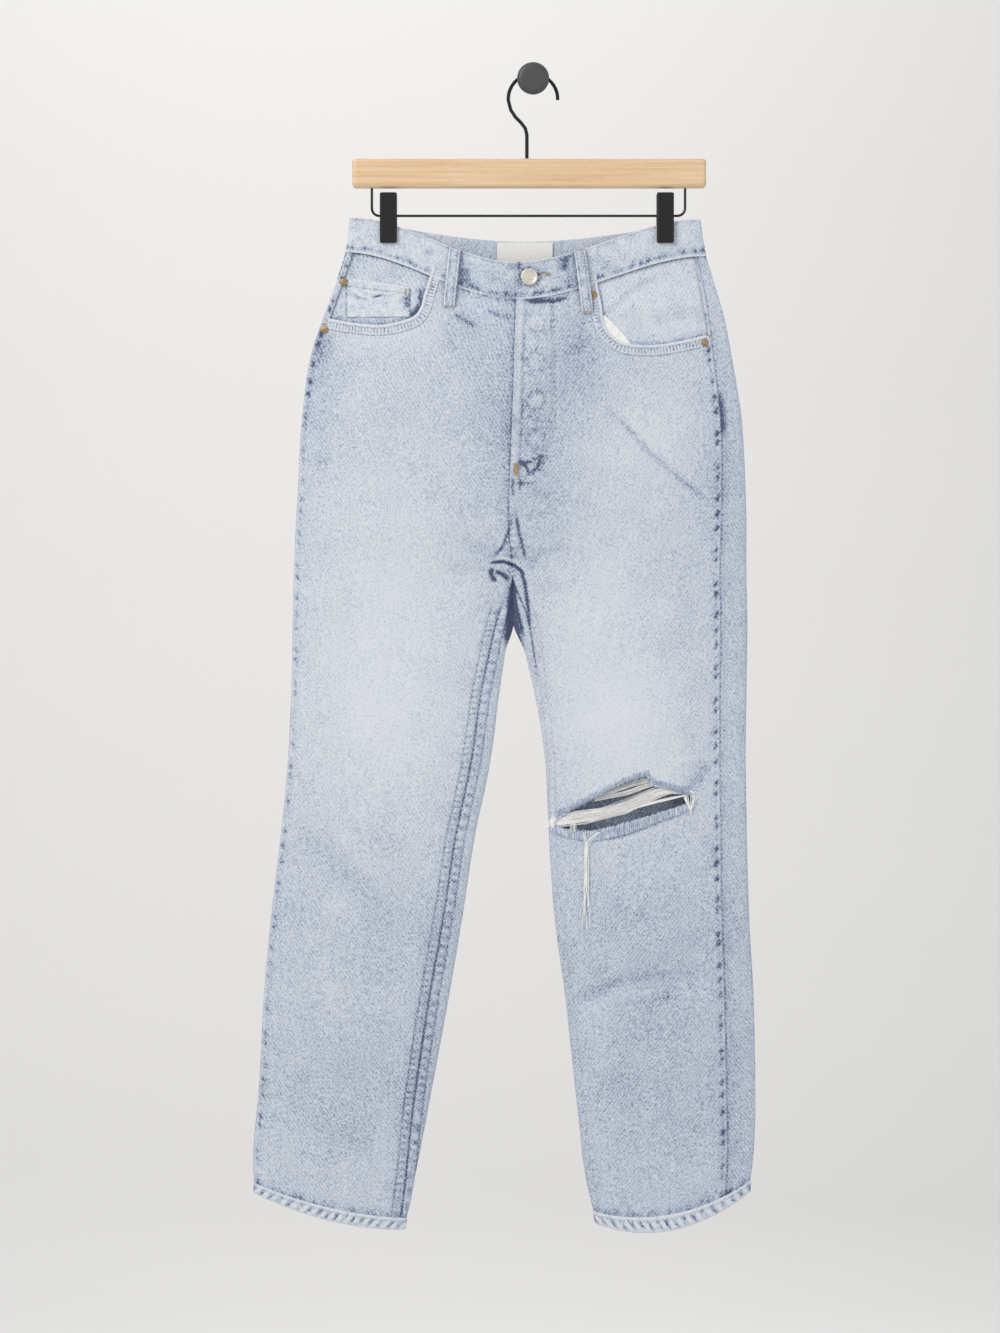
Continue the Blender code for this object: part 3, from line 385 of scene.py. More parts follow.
def inner_x(row, face):
    """The centre seam at the back lies beside the lapped fly edge at the front."""
    return row.in_x + (FLY_LAP * (1 - row.closed) if face < 0 else 0.0)


def relief(face, x, z):
    """How far the large folds raise or sink the cloth here."""
    rise = 0.0
    for fold in FOLDS:
        if (fold.face == "front") != (face > 0):
            continue
        dx, dz = fold.end[0] - fold.start[0], fold.end[1] - fold.start[1]
        length = hypot(dx, dz)
        along = ((x - fold.start[0]) * dx + (z - fold.start[1]) * dz) / length
        across = ((x - fold.start[0]) * dz - (z - fold.start[1]) * dx) / length
        ends = smooth(along / length * 3 + 0.5) * smooth((length - along) / length * 3 + 0.5)
        rise += fold.depth * exp(-(across / fold.width) ** 2) * ends
    return rise


def fly_raise(side, row, face, x, z):
    """The lapped fly stands proud, down to the turn of its J."""
    if side != "left" or face < 0:
        return 0.0
    from_edge = x - row.in_x
    reach = FLY_WIDTH * sqrt(max(0.0, min(1.0, (z - FLY_LOW) / 60.0)))
    return FLY_RAISE * smooth((reach - from_edge) / 10.0 + 0.5)


def flat_point(side, level, turn):
    """Point on the cloth's outside in mm. Turn runs from the outer fold over the front."""
    row = section(side, level)
    face = 1 if turn >= 0 else -1
    angle = abs(turn)
    if angle > pi and row.closed > 0.99:
        angle = 2 * pi - angle
        face = -face
    reach = (1 - cos(angle)) / (1 - cos(limit_turn(row)))
    x = row.out_x + (inner_x(row, face) - row.out_x) * reach
    in_z = row.front_z if face > 0 else row.back_z
    curved = smooth(reach) if face > 0 else sin(pi / 2 * reach)
    ease = curved * (1 - row.closed) + reach * row.closed
    z = row.out_z + (in_z - row.out_z) * ease - row.sag * 4 * reach * (1 - reach)
    half = row.front if face > 0 else row.back
    bend = max(0.0, sin(angle))
    edge = EDGE_SHARE * row.front
    depth = edge * bend ** EDGE_BEND + (half - edge) * bend ** row.swell
    depth += (relief(face, x, z) + fly_raise(side, row, face, x, z)) * smooth(bend * 2)
    return x, row.middle - face * depth, z


def face_of(row, turn):
    """Front is 1 and back is -1, also where a turn passes round the inner fold."""
    front = turn >= 0
    if abs(turn) > pi and row.closed > 0.99:
        front = not front
    return 1 if front else -1


def find(side, face, x, z):
    """Level and turn of the place on the cloth that shows at x and z in mm."""
    low, high = 0.0, float(len(SECTIONS[side]) - 1)
    for _ in range(18):
        level = (low + high) / 2
        row = section(side, level)
        reach = (x - row.out_x) / (inner_x(row, face) - row.out_x)
        turn = acos(max(-1.0, 1 - max(0.0, reach) * (1 - cos(limit_turn(row)))))
        if flat_point(side, level, face * turn)[2] > z:
            low = level
        else:
            high = level
    return level, face * turn


def wrap_turn(row, wrap, span):
    """Turn that takes a seam a given way round from a fold."""
    width = abs(row.in_x - row.out_x)
    return copysign(acos(1 - abs(wrap) * span / width), wrap)


def outer_turn(row):
    """Turn of the side seam."""
    return wrap_turn(row, row.out_wrap, 1 - cos(limit_turn(row)))


def inner_turn(row):
    """Turn of the centre front seam, or of the inseam below the crotch."""
    return limit_turn(row) - wrap_turn(row, row.in_wrap, 2.0)


@lru_cache(maxsize=None)
def seam_places(side, level):
    """x of the side seam and of the inner seam, as both show on the front."""
    row = section(side, level)
    return (flat_point(side, level, outer_turn(row))[0], flat_point(side, level, inner_turn(row))[0])


print("left side seam at the knee is at x", round(seam_places("left", 12.0)[0]), "mm")

# %% [markdown]
# Real cloth is never even. Small creases are listed along short lines, with their own width
# and depth. In the tone a crease's dip is darker and its ridge paler: this is painted shade and painted
# highlight, with some indigo kept in the dips. Seams pucker: where two rows of stitches shrink in the
# wash, the cloth between them rises in an uneven rope, and its dips keep the dark indigo while its
# ridges wear pale. The same rules give each place its lift in millimetres and its tone, so that shape
# and colour agree.

# %% Creases, fades and puckers
Crease = namedtuple("Crease", "face points width depth tone")
CREASES = [
    Crease(1, [(70, -337), (96, -362), (123, -392), (160, -424), (198, -452)], 3.2, -1.0, 0.30),
    Crease(1, [(-21, -450), (-25, -472), (-33, -492), (-43, -503)], 1.7, -1.3, 0.60),
    Crease(1, [(-20, -456), (-29, -480), (-38, -494)], 2.4, 0.9, -0.22),
    Crease(1, [(-19, -450), (-15, -474), (-10.5, -492), (-7, -508)], 1.7, -1.3, 0.60),
    Crease(1, [(-20, -460), (-20, -480), (-17, -500)], 2.2, 0.9, -0.18),
    # At the crotch, the dark line under the cross seam and the hollow below it are painted shade, and the
    # pale ridge above the line is painted highlight and wear.
    Crease(1, [(-47, -509), (-41, -506.5), (-31, -505.8), (-19, -510), (-12, -516), (-7, -523)],
           1.6, -1.8, 1.0),
    Crease(1, [(-46, -505), (-31, -502.4), (-18, -506.4), (-7, -517)], 1.7, 0.9, -0.30),
    Crease(1, [(-43, -511), (-43.5, -519), (-39, -529)], 2.3, -2.4, 1.0),
    Crease(1, [(-41, -515), (-32, -519), (-24, -527)], 1.9, -1.8, 1.0),
    # A dark line down the left thigh, where its back panel shows beside the front, and dark lines down both
    # sides of the gap between the legs: painted shade.
    Crease(1, [(-13, -514), (-9, -527), (-6, -548), (-2, -580)], 1.7, -1.6, 0.95),
    Crease(1, [(-22, -524), (-24, -545), (-26, -572), (-30, -600)], 3.0, -0.6, 0.75),
    Crease(1, [(-21, -524), (-18.5, -545), (-14, -568), (-8, -590)], 1.8, -0.5, 0.75),
    Crease(1, [(-17, -400), (-8, -404.5), (-3, -417)], 1.9, -0.9, 0.80),
    Crease(1, [(-12, -403.5), (2, -399.5), (13, -393)], 1.5, -0.9, 0.75),
    Crease(1, [(-3, -417), (4, -406), (11, -396)], 1.4, -0.7, 0.60),
    Crease(1, [(-16, -424), (-6, -425), (4, -421)], 1.6, -0.5, 0.45),
    Crease(1, [(-21, -416), (-21.5, -428), (-20.5, -440)], 1.3, -0.8, 0.60),
    Crease(1, [(-14, -416), (-13.5, -426), (-14.5, -434)], 1.3, -0.8, 0.50),
    # Painted shadow under the band, right of the fly.
    Crease(1, [(-11, -233.2), (6, -233.8), (22, -232.8), (40, -228.5)], 2.1, -1.1, 1.0),
    Crease(1, [(-84, -246), (-72, -252), (-58, -262)], 3.0, -0.7, 0.40),
    Crease(1, [(-52, -243), (-34, -248), (-18, -252)], 3.0, -0.7, 0.30),
    Crease(1, [(196, -324), (199, -350), (201, -378)], 3.4, 0.9, 0.55),
    Crease(1, [(203, -1168), (212, -1176), (224, -1172)], 3.0, -1.0, 0.75),
    # Painted shadow under the rip's lower lip.
    Crease(1, [(20, -789), (38, -795), (62, -797), (90, -795), (120, -784), (150, -770), (172, -764)],
           2.0, -0.8, 0.45),
    Crease(1, [(84, -338), (132, -386), (168, -414)], 7.0, 0.6, -0.06),
    Crease(1, [(-218, -264), (-206, -290), (-197, -318)], 5.5, -0.9, 0.10),
    Crease(1, [(-228, -366), (-206, -362), (-190, -352)], 5.0, -0.7, 0.08),
    Crease(1, [(-234, -402), (-208, -392)], 6.0, -0.6, 0.06),
    Crease(1, [(-246, -789), (-196, -836), (-140, -894)], 15.0, -1.1, 0.07),
    Crease(1, [(-238, -770), (-180, -820), (-128, -872)], 13.0, 0.8, -0.06),
    Crease(1, [(-292, -1051), (-278, -1064), (-262, -1074)], 7.0, -0.9, 0.08),
    Crease(1, [(-284, -1012), (-262, -1028)], 8.0, -0.6, 0.04),
    Crease(1, [(38, -972), (60, -960), (91, -947), (128, -940), (166, -939)], 5.5, -1.1, 0.14),
    Crease(1, [(46, -984), (84, -964), (122, -955)], 6.5, 0.8, -0.06),
    Crease(1, [(110, -974), (132, -966), (156, -956)], 5.5, -0.8, 0.10),
    # A soft patch of painted shade above the rip's right end.
    Crease(1, [(186, -714), (174, -732), (160, -754)], 8.0, -1.6, 0.28),
    Crease(1, [(176, -790), (188, -812), (190, -836)], 8.0, -0.9, 0.10),
    Crease(1, [(-30, -512), (-52, -494), (-84, -480)], 5.0, -1.0, 0.14),
    Crease(1, [(-34, -522), (-62, -514), (-98, -512)], 6.0, -0.9, 0.10),
    Crease(1, [(-12, -512), (10, -498), (40, -490)], 5.0, -0.8, 0.10),
    Crease(1, [(-8, -536), (16, -534), (46, -540)], 7.0, -0.7, 0.05),
    Crease(1, [(-20, -440), (-46, -452), (-82, -452)], 7.0, -0.7, 0.05),
    Crease(1, [(-6, -428), (18, -440), (44, -444)], 6.0, -0.7, 0.12),
    Crease(1, [(60, -240), (52, -262), (50, -292)], 4.0, -0.6, 0.10),
    Crease(1, [(-88, -246), (-84, -276), (-88, -306)], 4.5, -0.7, 0.08),
    Crease(1, [(-96, -244), (-100, -268), (-112, -292)], 4.0, 0.5, -0.05),
    Crease(1, [(-176, -600), (-128, -622), (-84, -628)], 14.0, -0.8, 0.03),
    Crease(1, [(200, -580), (150, -600), (96, -598)], 13.0, -0.8, 0.03),
    Crease(1, [(-236, -905), (-190, -930), (-130, -946)], 12.0, -0.7, 0.04),
    Crease(1, [(60, -1050), (110, -1064), (170, -1058)], 13.0, -0.8, 0.04),
    Crease(1, [(-250, -1100), (-206, -1122), (-160, -1128)], 12.0, -0.7, 0.03),
    Crease(-1, [(-232, -500), (-150, -530), (-60, -528)], 11.0, -1.2, 0.06),
    Crease(-1, [(-228, -530), (-160, -556), (-80, -572)], 12.0, 0.9, -0.05),
    Crease(-1, [(206, -498), (120, -530), (30, -526)], 11.0, -1.2, 0.06),
    Crease(-1, [(206, -532), (130, -556), (50, -572)], 12.0, 0.9, -0.05),
    Crease(-1, [(-246, -776), (-180, -812), (-96, -822)], 9.0, -1.2, 0.10),
    Crease(-1, [(-252, -806), (-196, -834), (-108, -850)], 9.0, -1.0, 0.08),
    Crease(-1, [(208, -768), (140, -806), (40, -816)], 9.0, -1.2, 0.10),
    Crease(-1, [(214, -800), (150, -832), (50, -842)], 9.0, -1.0, 0.08),
    Crease(-1, [(-262, -872), (-206, -884), (-140, -876)], 11.0, -0.8, 0.05),
    Crease(-1, [(212, -880), (150, -892), (70, -884)], 11.0, -0.8, 0.05),
    Crease(-1, [(-20, -420), (-60, -448), (-120, -462)], 9.0, -0.9, 0.06),
    Crease(-1, [(0, -420), (40, -448), (96, -462)], 9.0, -0.9, 0.06),
    Crease(-1, [(-280, -1010), (-220, -1030), (-150, -1022)], 12.0, -0.8, 0.04),
    Crease(-1, [(222, -1000), (160, -1022), (80, -1020)], 12.0, -0.8, 0.04),
]

# Soft areas that the wash has faded or left blue: centre, half sizes and how blue they are.
Fade = namedtuple("Fade", "face x z wide tall blue")
FADES = [
    Fade(1, -150, -540, 74, 120, -0.22),
    Fade(1, -160, -680, 70, 95, -0.26),
    Fade(1, 66, -560, 60, 110, -0.20),
    Fade(1, 92, -690, 64, 70, -0.32),
    Fade(1, -160, -250, 40, 30, -0.22),
    Fade(1, 132, -240, 46, 32, -0.20),
    Fade(1, 120, -372, 50, 50, -0.16),
    Fade(1, -184, -780, 70, 60, 0.03),
    Fade(1, -10, -360, 60, 60, 0.20),
    Fade(1, 16, -470, 40, 60, 0.14),
    Fade(1, 46, -286, 34, 46, 0.20),
    Fade(1, -60, -270, 30, 40, 0.12),
    Fade(1, -70, -440, 40, 50, 0.04),
    Fade(1, 190, -420, 26, 60, 0.14),
    Fade(1, -232, -330, 22, 60, 0.14),
    Fade(1, -222, -284, 10, 20, 0.30),
    Fade(1, -170, -900, 110, 60, 0.10),
    Fade(1, -190, -1060, 110, 90, 0.15),
    Fade(1, 130, -900, 110, 70, 0.13),
    Fade(1, 140, -1060, 110, 120, 0.16),
    Fade(1, -206, -930, 24, 70, -0.10),
    Fade(1, -200, -1150, 70, 40, -0.02),
    Fade(1, 218, -700, 22, 520, 0.06),
    Fade(-1, -130, -440, 80, 70, -0.22),
    Fade(-1, 110, -440, 80, 70, -0.22),
    Fade(-1, -150, -640, 80, 110, -0.14),
    Fade(-1, 110, -640, 80, 110, -0.14),
    Fade(-1, -180, -1000, 110, 140, 0.18),
    Fade(-1, 130, -1000, 110, 140, 0.18),
]


def dots(s, pitch, size, seed):
    """Uneven spots along a seam: near 1 in the middle of one, 0 between two."""
    n = round(s / pitch)
    middle = pitch * n + pitch * 0.25 * sin(2.7 * n + seed)
    strength = 0.8 + 0.2 * sin(5.1 * n + 2 * seed)
    return strength * exp(-((s - middle) / size) ** 2)


def ridge(distance, middle, width):
    """Soft ridge across a seam, 1 at its middle."""
    return exp(-((distance - middle) / width) ** 2)


def patchy(a, b, seed):
    """Smooth noise from about -1 to 1 over two numbers."""
    return noise.noise(Vector((a, b, seed)))


def near_line(points, x, z):
    """Distance from a line of points, and how far its ends have faded out, 0 to 1."""
    best, place = 1e9, 0.0
    spans = len(points) - 1
    for i in range(spans):
        (ax, az), (bx, bz) = points[i], points[i + 1]
        dx, dz = bx - ax, bz - az
        t = ((x - ax) * dx + (z - az) * dz) / (dx * dx + dz * dz)
        t = max(0.0, min(1.0, t))
        distance = hypot(x - ax - t * dx, z - az - t * dz)
        if distance < best:
            best, place = distance, (i + t) / spans
    return best, smooth(place * 4) * smooth((1 - place) * 4)


def reach_of(crease):
    """Lowest and highest z that a crease touches."""
    heights = [z for _, z in crease.points]
    return min(heights) - 2.5 * crease.width, max(heights) + 2.5 * crease.width


CREASE_REACH = [reach_of(crease) for crease in CREASES]


def creased(face, x, z):
    """Lift and tone of the small creases here."""
    lift, tone = 0.0, 0.0
    for crease, (low, high) in zip(CREASES, CREASE_REACH):
        if crease.face != face or not low < z < high:
            continue
        distance, fade = near_line(crease.points, x, z)
        if distance < 2.5 * crease.width:
            shape = ridge(distance, 0, crease.width) * fade
            lift += crease.depth * shape
            tone += crease.tone * shape
    return lift, tone


def faded(face, x, z):
    """How blue the wash has left this area."""
    blue = 0.0
    for fade in FADES:
        if fade.face == face:
            across, down = (x - fade.x) / fade.wide, (z - fade.z) / fade.tall
            if abs(across) < 2 and abs(down) < 2:
                blue += fade.blue * exp(-across * across - down * down)
    return blue


FLY_J = [(20.5, -236), (20.5, -300), (20.3, -352), (18.5, -378), (13.0, -397), (3.0, -411), (-9.0, -419),
         (-18, -423)]


def crotch_folds(x, z):
    """The gather where four seams meet: a roped seam, and a knob of cloth below the cross seam."""
    if not -545 < z < -428:
        return 0.0, 0.0
    knob = exp(-((x + 23) / 8.0) ** 2 - ((z + 516) / 4.6) ** 2)
    dashes = ridge(x, -22, 5) * smooth((-440 - z) / 30) * smooth((z + 508) / 8)
    dash = dashes * (0.5 + 0.5 * sin(z / 1.1))
    mottle = patchy(x / 2.6, z / 2.6, 3.0)
    lift = 2.2 * knob + 0.4 * dash
    tone = (0.10 + 0.7 * mottle) * knob + 0.34 * (dashes - dash)
    return lift, tone


def dressed(side, face, level, x, z):
    """Lift in mm and tone of the finished cloth at a place on a panel. Tone is 0 pale to 1 indigo."""
    row = section(side, level)
    outer, inner = seam_places(side, level)
    if face > 0:
        from_side, from_inner = abs(x - outer), abs(x - inner)
    else:
        from_side = abs(x - row.out_x) + abs(outer - row.out_x)
        from_inner = abs(x - inner_x(row, face)) + abs(inner - row.in_x)
    seed = 1.7 if side == "right" else 4.3
    lift = 0.75 * patchy(x / 85, z / 120, seed + face)
    lift += 0.30 * patchy(x / 26, z / 38, seed + 9 + face)
    tone = 0.34 + faded(face, x, z)
    more_lift, more_tone = creased(face, x, z)
    lift += more_lift
    tone += more_tone

    # The side seam is felled over the back panel: stitches 4 mm in, with a dark dip at each pucker.
    worn = 0.55 + 0.45 * patchy(x / 30, z / 60, 5.0)
    on_front = face > 0 and abs(x - row.out_x) >= abs(outer - row.out_x) - 0.5
    lift -= 0.9 * ridge(from_side, 0, 1.3)
    tone += 0.10 * ridge(from_side, 0, 8.0) + 0.26 * ridge(from_side, 0, 0.9)
    if on_front or face < 0:
        lean = z + 0.7 * (from_side - 4.6)
        spot = dots(lean, 17.5, 2.4, seed) * ridge(from_side, 5.0, 2.7)
        clear = 0.45 if side == "right" and z < -330 else 1.0
        fine = dots(lean, 6.4, 1.4, seed + 2) * ridge(from_side, 4.8, 1.8)
        lift -= 0.8 * spot + 0.25 * fine
        lift += 0.40 * ridge(from_side, 2.4, 1.3)
        tone += clear * (0.76 * spot + 0.16 * fine) * (0.6 + worn) - 0.14 * ridge(from_side, 2.4, 1.2)

    if row.closed > 0.5:
        # The inseam has two rows of stitches on the front panel, with a rope of cloth between them.
        shows = smooth((-544 - z) / 16) if side == "right" else smooth((z + 640) / 40)
        lift -= 0.9 * ridge(from_inner, 0, 1.3) * shows
        tone += 0.55 * ridge(from_inner, 0, 1.1) * shows + 0.10 * ridge(from_inner, 0, 14.0)
        rope = 0.5 + 0.5 * sin(2 * pi * z / 6.5 + 2.2 * sin(z / 17 + seed))
        band = ridge(from_inner, 5.6, 3.4)
        lift += band * (0.35 + 0.30 * rope)
        lift -= 0.45 * ridge(from_inner, 9.6, 1.3) + 0.2 * ridge(from_inner, 2.0, 1.0)
        clear = shows if side == "right" else 0.3 * shows
        tone += clear * (band * (0.34 * (1 - rope) - 0.18 * rope) + 0.36 * ridge(from_inner, 9.8, 1.0))
        # Just below the crotch, cloth from behind bunches up and fills the narrow gap. Its darker tone
        # there is painted shade, strongest on the back panels and along the front panels' inner fold.
        from_fold = abs(x - row.in_x)
        gap_shade = smooth((-522 - z) / 10) * smooth((z + 606) / 34)
        if face < 0:
            lift += 5.2 * ridge(from_fold, 0, 5.0) * gap_shade
        shade = 1.1 * ridge(from_fold, 0, 6.0) if face < 0 else 0.35 * ridge(from_fold, 0, 1.6)
        tone += gap_shade * shade
    elif face < 0:
        # The seat seam is felled the same way.
        lift -= 0.8 * ridge(from_inner, 0, 1.3)
        spot = dots(z, 9.0, 2.4, seed) * ridge(from_inner, 4.6, 2.6)
        lift += 0.45 * ridge(from_inner, 4.8, 3.2) - 0.5 * spot
        tone += 0.5 * spot + 0.10 * ridge(from_inner, 0, 2.0)
    elif side == "left":
        # The fly's edge is a raised double fold, and four buttons press through the placket.
        above = smooth((z - FLY_LOW + 6) / 20)
        lift += (0.55 * smooth((8.6 - from_inner) / 1.6) - 0.45 * ridge(from_inner, 9.6, 1.2)) * above
        tone += (0.28 * ridge(from_inner, 9.8, 1.5) - 0.16 * ridge(from_inner, 5, 4)) * above
        for middle in (-256, -297, -338, -378):
            bump = ridge(z, middle, 8.5) * ridge(x, 3.0, 7.5)
            rim = ridge(hypot(x - 3.0, z - middle), 9.5, 1.8)
            lift += 0.75 * bump
            tone += 0.20 * rim - 0.10 * bump
        blot = patchy(x / 7, z / 9, 2.0)
        tone += 0.16 * above * blot * smooth((40 - from_inner) / 8)
        if z > -430:
            from_j = near_line(FLY_J, x, z)[0]
            dash = 0.5 + 0.5 * sin(2 * pi * z / 6.6 + 1.5 * sin(z / 15))
            lift -= 0.45 * ridge(from_j, 0.5, 1.2)
            lift += 0.35 * ridge(from_j, 3.6, 2.0) * dash
            uneven = max(0.0, 0.45 + 1.2 * patchy(x / 12, z / 26, 11.0))
            tone += ridge(from_j, 1.8, 2.4) * (0.36 * (1 - dash) + 0.12) * uneven
            tone -= 0.08 * ridge(from_j, 4.5, 2)
    else:
        # The right front's edge lies under the lapped fly, and its darker tone there is painted shadow.
        tone += 0.16 * ridge(from_inner, 0, 10.0)
        tone += 0.30 * ridge(from_inner, 0, 1.5)

    if side == "left" and face > 0 and -806 < z < -718:
        from_rip = min(near_line(RIP[:7], x, z)[0], near_line(RIP[6:] + RIP[:1], x, z)[0])
        fray = ridge(from_rip, 0, 4.0)
        lift += fray * (0.5 + 0.5 * patchy(x / 3, z / 3, 1.0))
        tone += fray * (0.12 + 0.7 * patchy(x / 2.5, z / 6, 2.0))
    if face > 0:
        more_lift, more_tone = crotch_folds(x, z)
        lift += more_lift
        tone += more_tone

    # The waist seam draws the cloth in, so that it gathers below the band. The line just under the
    # band is darkened as painted shadow.
    if level < 2.4:
        below = (level - 1.0) * WAIST_ROW_MM
        gather = dots(x, 9.5, 3.2, seed + 3) * ridge(below, 0, 11.0)
        lift -= 0.55 * gather + 0.3 * ridge(below, 0, 2.5)
        tone += 0.20 * gather + 0.30 * ridge(below, 0, 3.2)

    # The legs are drawn in above the hem's stitching.
    if level > 16.2:
        above_hem = (HEM_TOP - level) * HEM_ROW_MM
        pull = dots(x, 11.0, 3.6, seed + 5)
        lift -= 0.6 * pull * ridge(above_hem, 3, 6.0)
        tone += 0.30 * pull * ridge(above_hem, 2, 4.0)
        tone += 0.16 * ridge(above_hem, 0, 5.0)
    return lift, tone


print(len(CREASES), "creases,", len(FADES), "fades")

# %% [markdown]
# Every shell is a grid made by one operator, whose points are then put on the surface row by row.
# Each point keeps its place on the flat cut as a UV, so that the weave follows the cloth round the
# folds, and its tone as a colour attribute. Solidify gives the wall its real thickness. The mesh is
# then settled, which means that its modifiers are applied, so that pockets and rips can be cut.

# %% Helpers for cloth
Spot = namedtuple("Spot", "point out u v tone")


def tangent_out(before, after, hand):
    """Outward direction of a section between two of its points, as x and y."""
    dx, dy = after[0] - before[0], after[1] - before[1]
    size = hypot(dx, dy) or 1.0
    return hand * dy / size, -hand * dx / size


def cloth_row(side, level, turns, lift=0.0, dress=dressed):
    """Spots across the cloth at a level, moved out by lift in mm."""
    hand = (1 if side == "right" else -1) * (1 if turns[-1] > turns[0] else -1)
    row = section(side, level)
    flats = [flat_point(side, level, turn) for turn in turns]
    last = len(flats) - 1
    spots, u = [], 0.0
    for i, (x, y, z) in enumerate(flats):
        nx, ny = tangent_out(flats[max(i - 1, 0)], flats[min(i + 1, last)], hand)
        if i:
            u += hypot(x - flats[i - 1][0], y - flats[i - 1][1])
        more, tone = dress(side, face_of(row, turns[i]), level, x, z)
        away = lift + more
        point = Vector((x + nx * away, y + ny * away, z)) * MM
        spots.append(Spot(point, Vector((nx, ny, 0)), u * MM, z * MM, tone))
    return spots


def spot_at(side, level, turn, lift=0.0, dress=dressed):
    """Spot on the cloth at a level and turn, moved out by lift in mm."""
    ahead, behind = flat_point(side, level, turn + 0.02), flat_point(side, level, turn - 0.02)
    nx, ny = tangent_out(behind, ahead, 1 if side == "right" else -1)
    x, y, z = flat_point(side, level, turn)
    more, tone = dress(side, face_of(section(side, level), turn), level, x, z) if dress else (0.0, 0.4)
    away = lift + more
    point = Vector((x + nx * away, y + ny * away, z)) * MM
    return Spot(point, Vector((nx, ny, 0)), x * MM, z * MM, tone)


def skin(side, face, x, z, lift=0.0, dress=dressed):
    """Spot on the cloth that shows at x and z in mm, moved out by lift in mm."""
    return spot_at(side, *find(side, face, x, z), lift, dress)


def show(name, mesh, finish):
    """Piece for a mesh, with its finish, riding on the model."""
    piece = put(name, mesh)
    mesh.materials.append(finish)
    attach(piece, "root")
    return piece


def grid_mesh(name, rows, closed=False):
    """Mesh of a grid whose points are put on rows of spots. A closed one joins its first and last rows."""
    across, down = len(rows[0]) - 1, len(rows) - 1
    bm = bmesh.new()
    bmesh.ops.create_grid(bm, x_segments=across, y_segments=down, size=0.5)
    cut = bm.loops.layers.uv.new("cut")
    # The wash attribute holds each point's tone: the indigo that the wash left, and in places painted shade.
    wash = bm.loops.layers.float_color.new("wash")
    spots = {}
    for vert in bm.verts:
        i = round((vert.co.x + 0.5) * across)
        k = round((0.5 - vert.co.y) * down)
        spots[vert] = rows[k][i]
    for vert, spot in spots.items():
        vert.co = spot.point
    for face in bm.faces:
        face.smooth = True
        for loop in face.loops:
            spot = spots[loop.vert]
            loop[cut].uv = (spot.u, spot.v)
            loop[wash] = (spot.tone, 0.0, 0.0, 1.0)
    bm.normal_update()
    facing = sum(spots[face.verts[0]].out.dot(face.normal) for face in list(bm.faces)[:200])
    if facing < 0:
        bmesh.ops.reverse_faces(bm, faces=bm.faces)
    if closed:
        bmesh.ops.remove_doubles(bm, verts=bm.verts, dist=0.00001)
        edges = [edge for edge in bm.edges if edge.is_boundary]
        ends = bmesh.ops.holes_fill(bm, edges=edges, sides=0)["faces"] if edges else []
        for face in ends:
            for loop in face.loops:
                loop[wash] = (0.4, 0.0, 0.0, 1.0)
        bmesh.ops.recalc_face_normals(bm, faces=bm.faces)
    return to_mesh(name, bm)


def settle(piece):
    """Apply a piece's modifiers and mark its sharp edges."""
    graph = bpy.context.evaluated_depsgraph_get()
    mesh = bpy.data.meshes.new_from_object(piece.evaluated_get(graph))
    old = piece.data
    piece.modifiers.clear()
    piece.data = mesh
    bpy.data.meshes.remove(old)
    mesh.name = piece.name
    mesh.set_sharp_from_angle(angle=radians(60))


def keep_sheet(node, piece):
    """A cloth piece stands for its node, which is hidden."""
    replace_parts(piece, node)


def wall(node, rows, finish, thick):
    """Cloth for a node with its real thickness, from rows of spots on its outside."""
    name = node + "_cloth"
    piece = show(name, grid_mesh(name, rows), finish)
    solid = piece.modifiers.new("wall", "SOLIDIFY")
    solid.thickness = thick
    solid.offset = -1
    settle(piece)
    keep_sheet(node, piece)
    return piece


def cut_through(piece, outline, near, far):
    """Cut an outline of x and z in mm out of a piece, between two depths in mm."""
    bm = bmesh.new()
    face = bm.faces.new([bm.verts.new((x * MM, near * MM, z * MM)) for x, z in outline])
    made = bmesh.ops.extrude_face_region(bm, geom=[face])
    moved = [v for v in made["geom"] if isinstance(v, bmesh.types.BMVert)]
    bmesh.ops.translate(bm, verts=moved, vec=(0, (far - near) * MM, 0))
    bmesh.ops.recalc_face_normals(bm, faces=bm.faces)
    cutter = put("cutter", to_mesh("cutter", bm))
    cut = piece.modifiers.new("cut", "BOOLEAN")
    cut.operation = "DIFFERENCE"
    cut.solver = "EXACT"
    cut.object = cutter
    settle(piece)
    bpy.data.objects.remove(cutter)


def curve_through(points, step):
    """Places about a step apart on the smooth line through a few points, in mm."""
    line = []
    last = len(points) - 1
    for i in range(last):
        near = [points[max(i - 1, 0)], points[i], points[i + 1], points[min(i + 2, last)]]
        count = max(1, round(hypot(near[2][0] - near[1][0], near[2][1] - near[1][1]) / step))
        for k in range(count):
            line.append(tuple(through(*column, k / count) for column in zip(*near)))
    return line + [points[-1]]


print("cloth helpers ready")

# %% [markdown]
# Washed denim is a cotton twill: blue warp threads over white weft, faded by stone and bleach. Close
# up it is a salt-and-pepper grain with faint diagonals, and darker slubs run down the warp. The real
# twill line is 0.8 mm apart, too fine for the picture, so it is drawn four times as coarse. The tone
# attribute darkens dips, the sides of seams and the cloth under folds: partly indigo that the wash
# can't rub off, partly painted shade.

# %% Denim finish
GRAIN_MM = 2.2
SLUB_MM = 2.6
BLOTCH_MM = 34.0
TWILL_MM = 3.2
WAVE_TURN = 2 * pi / 20


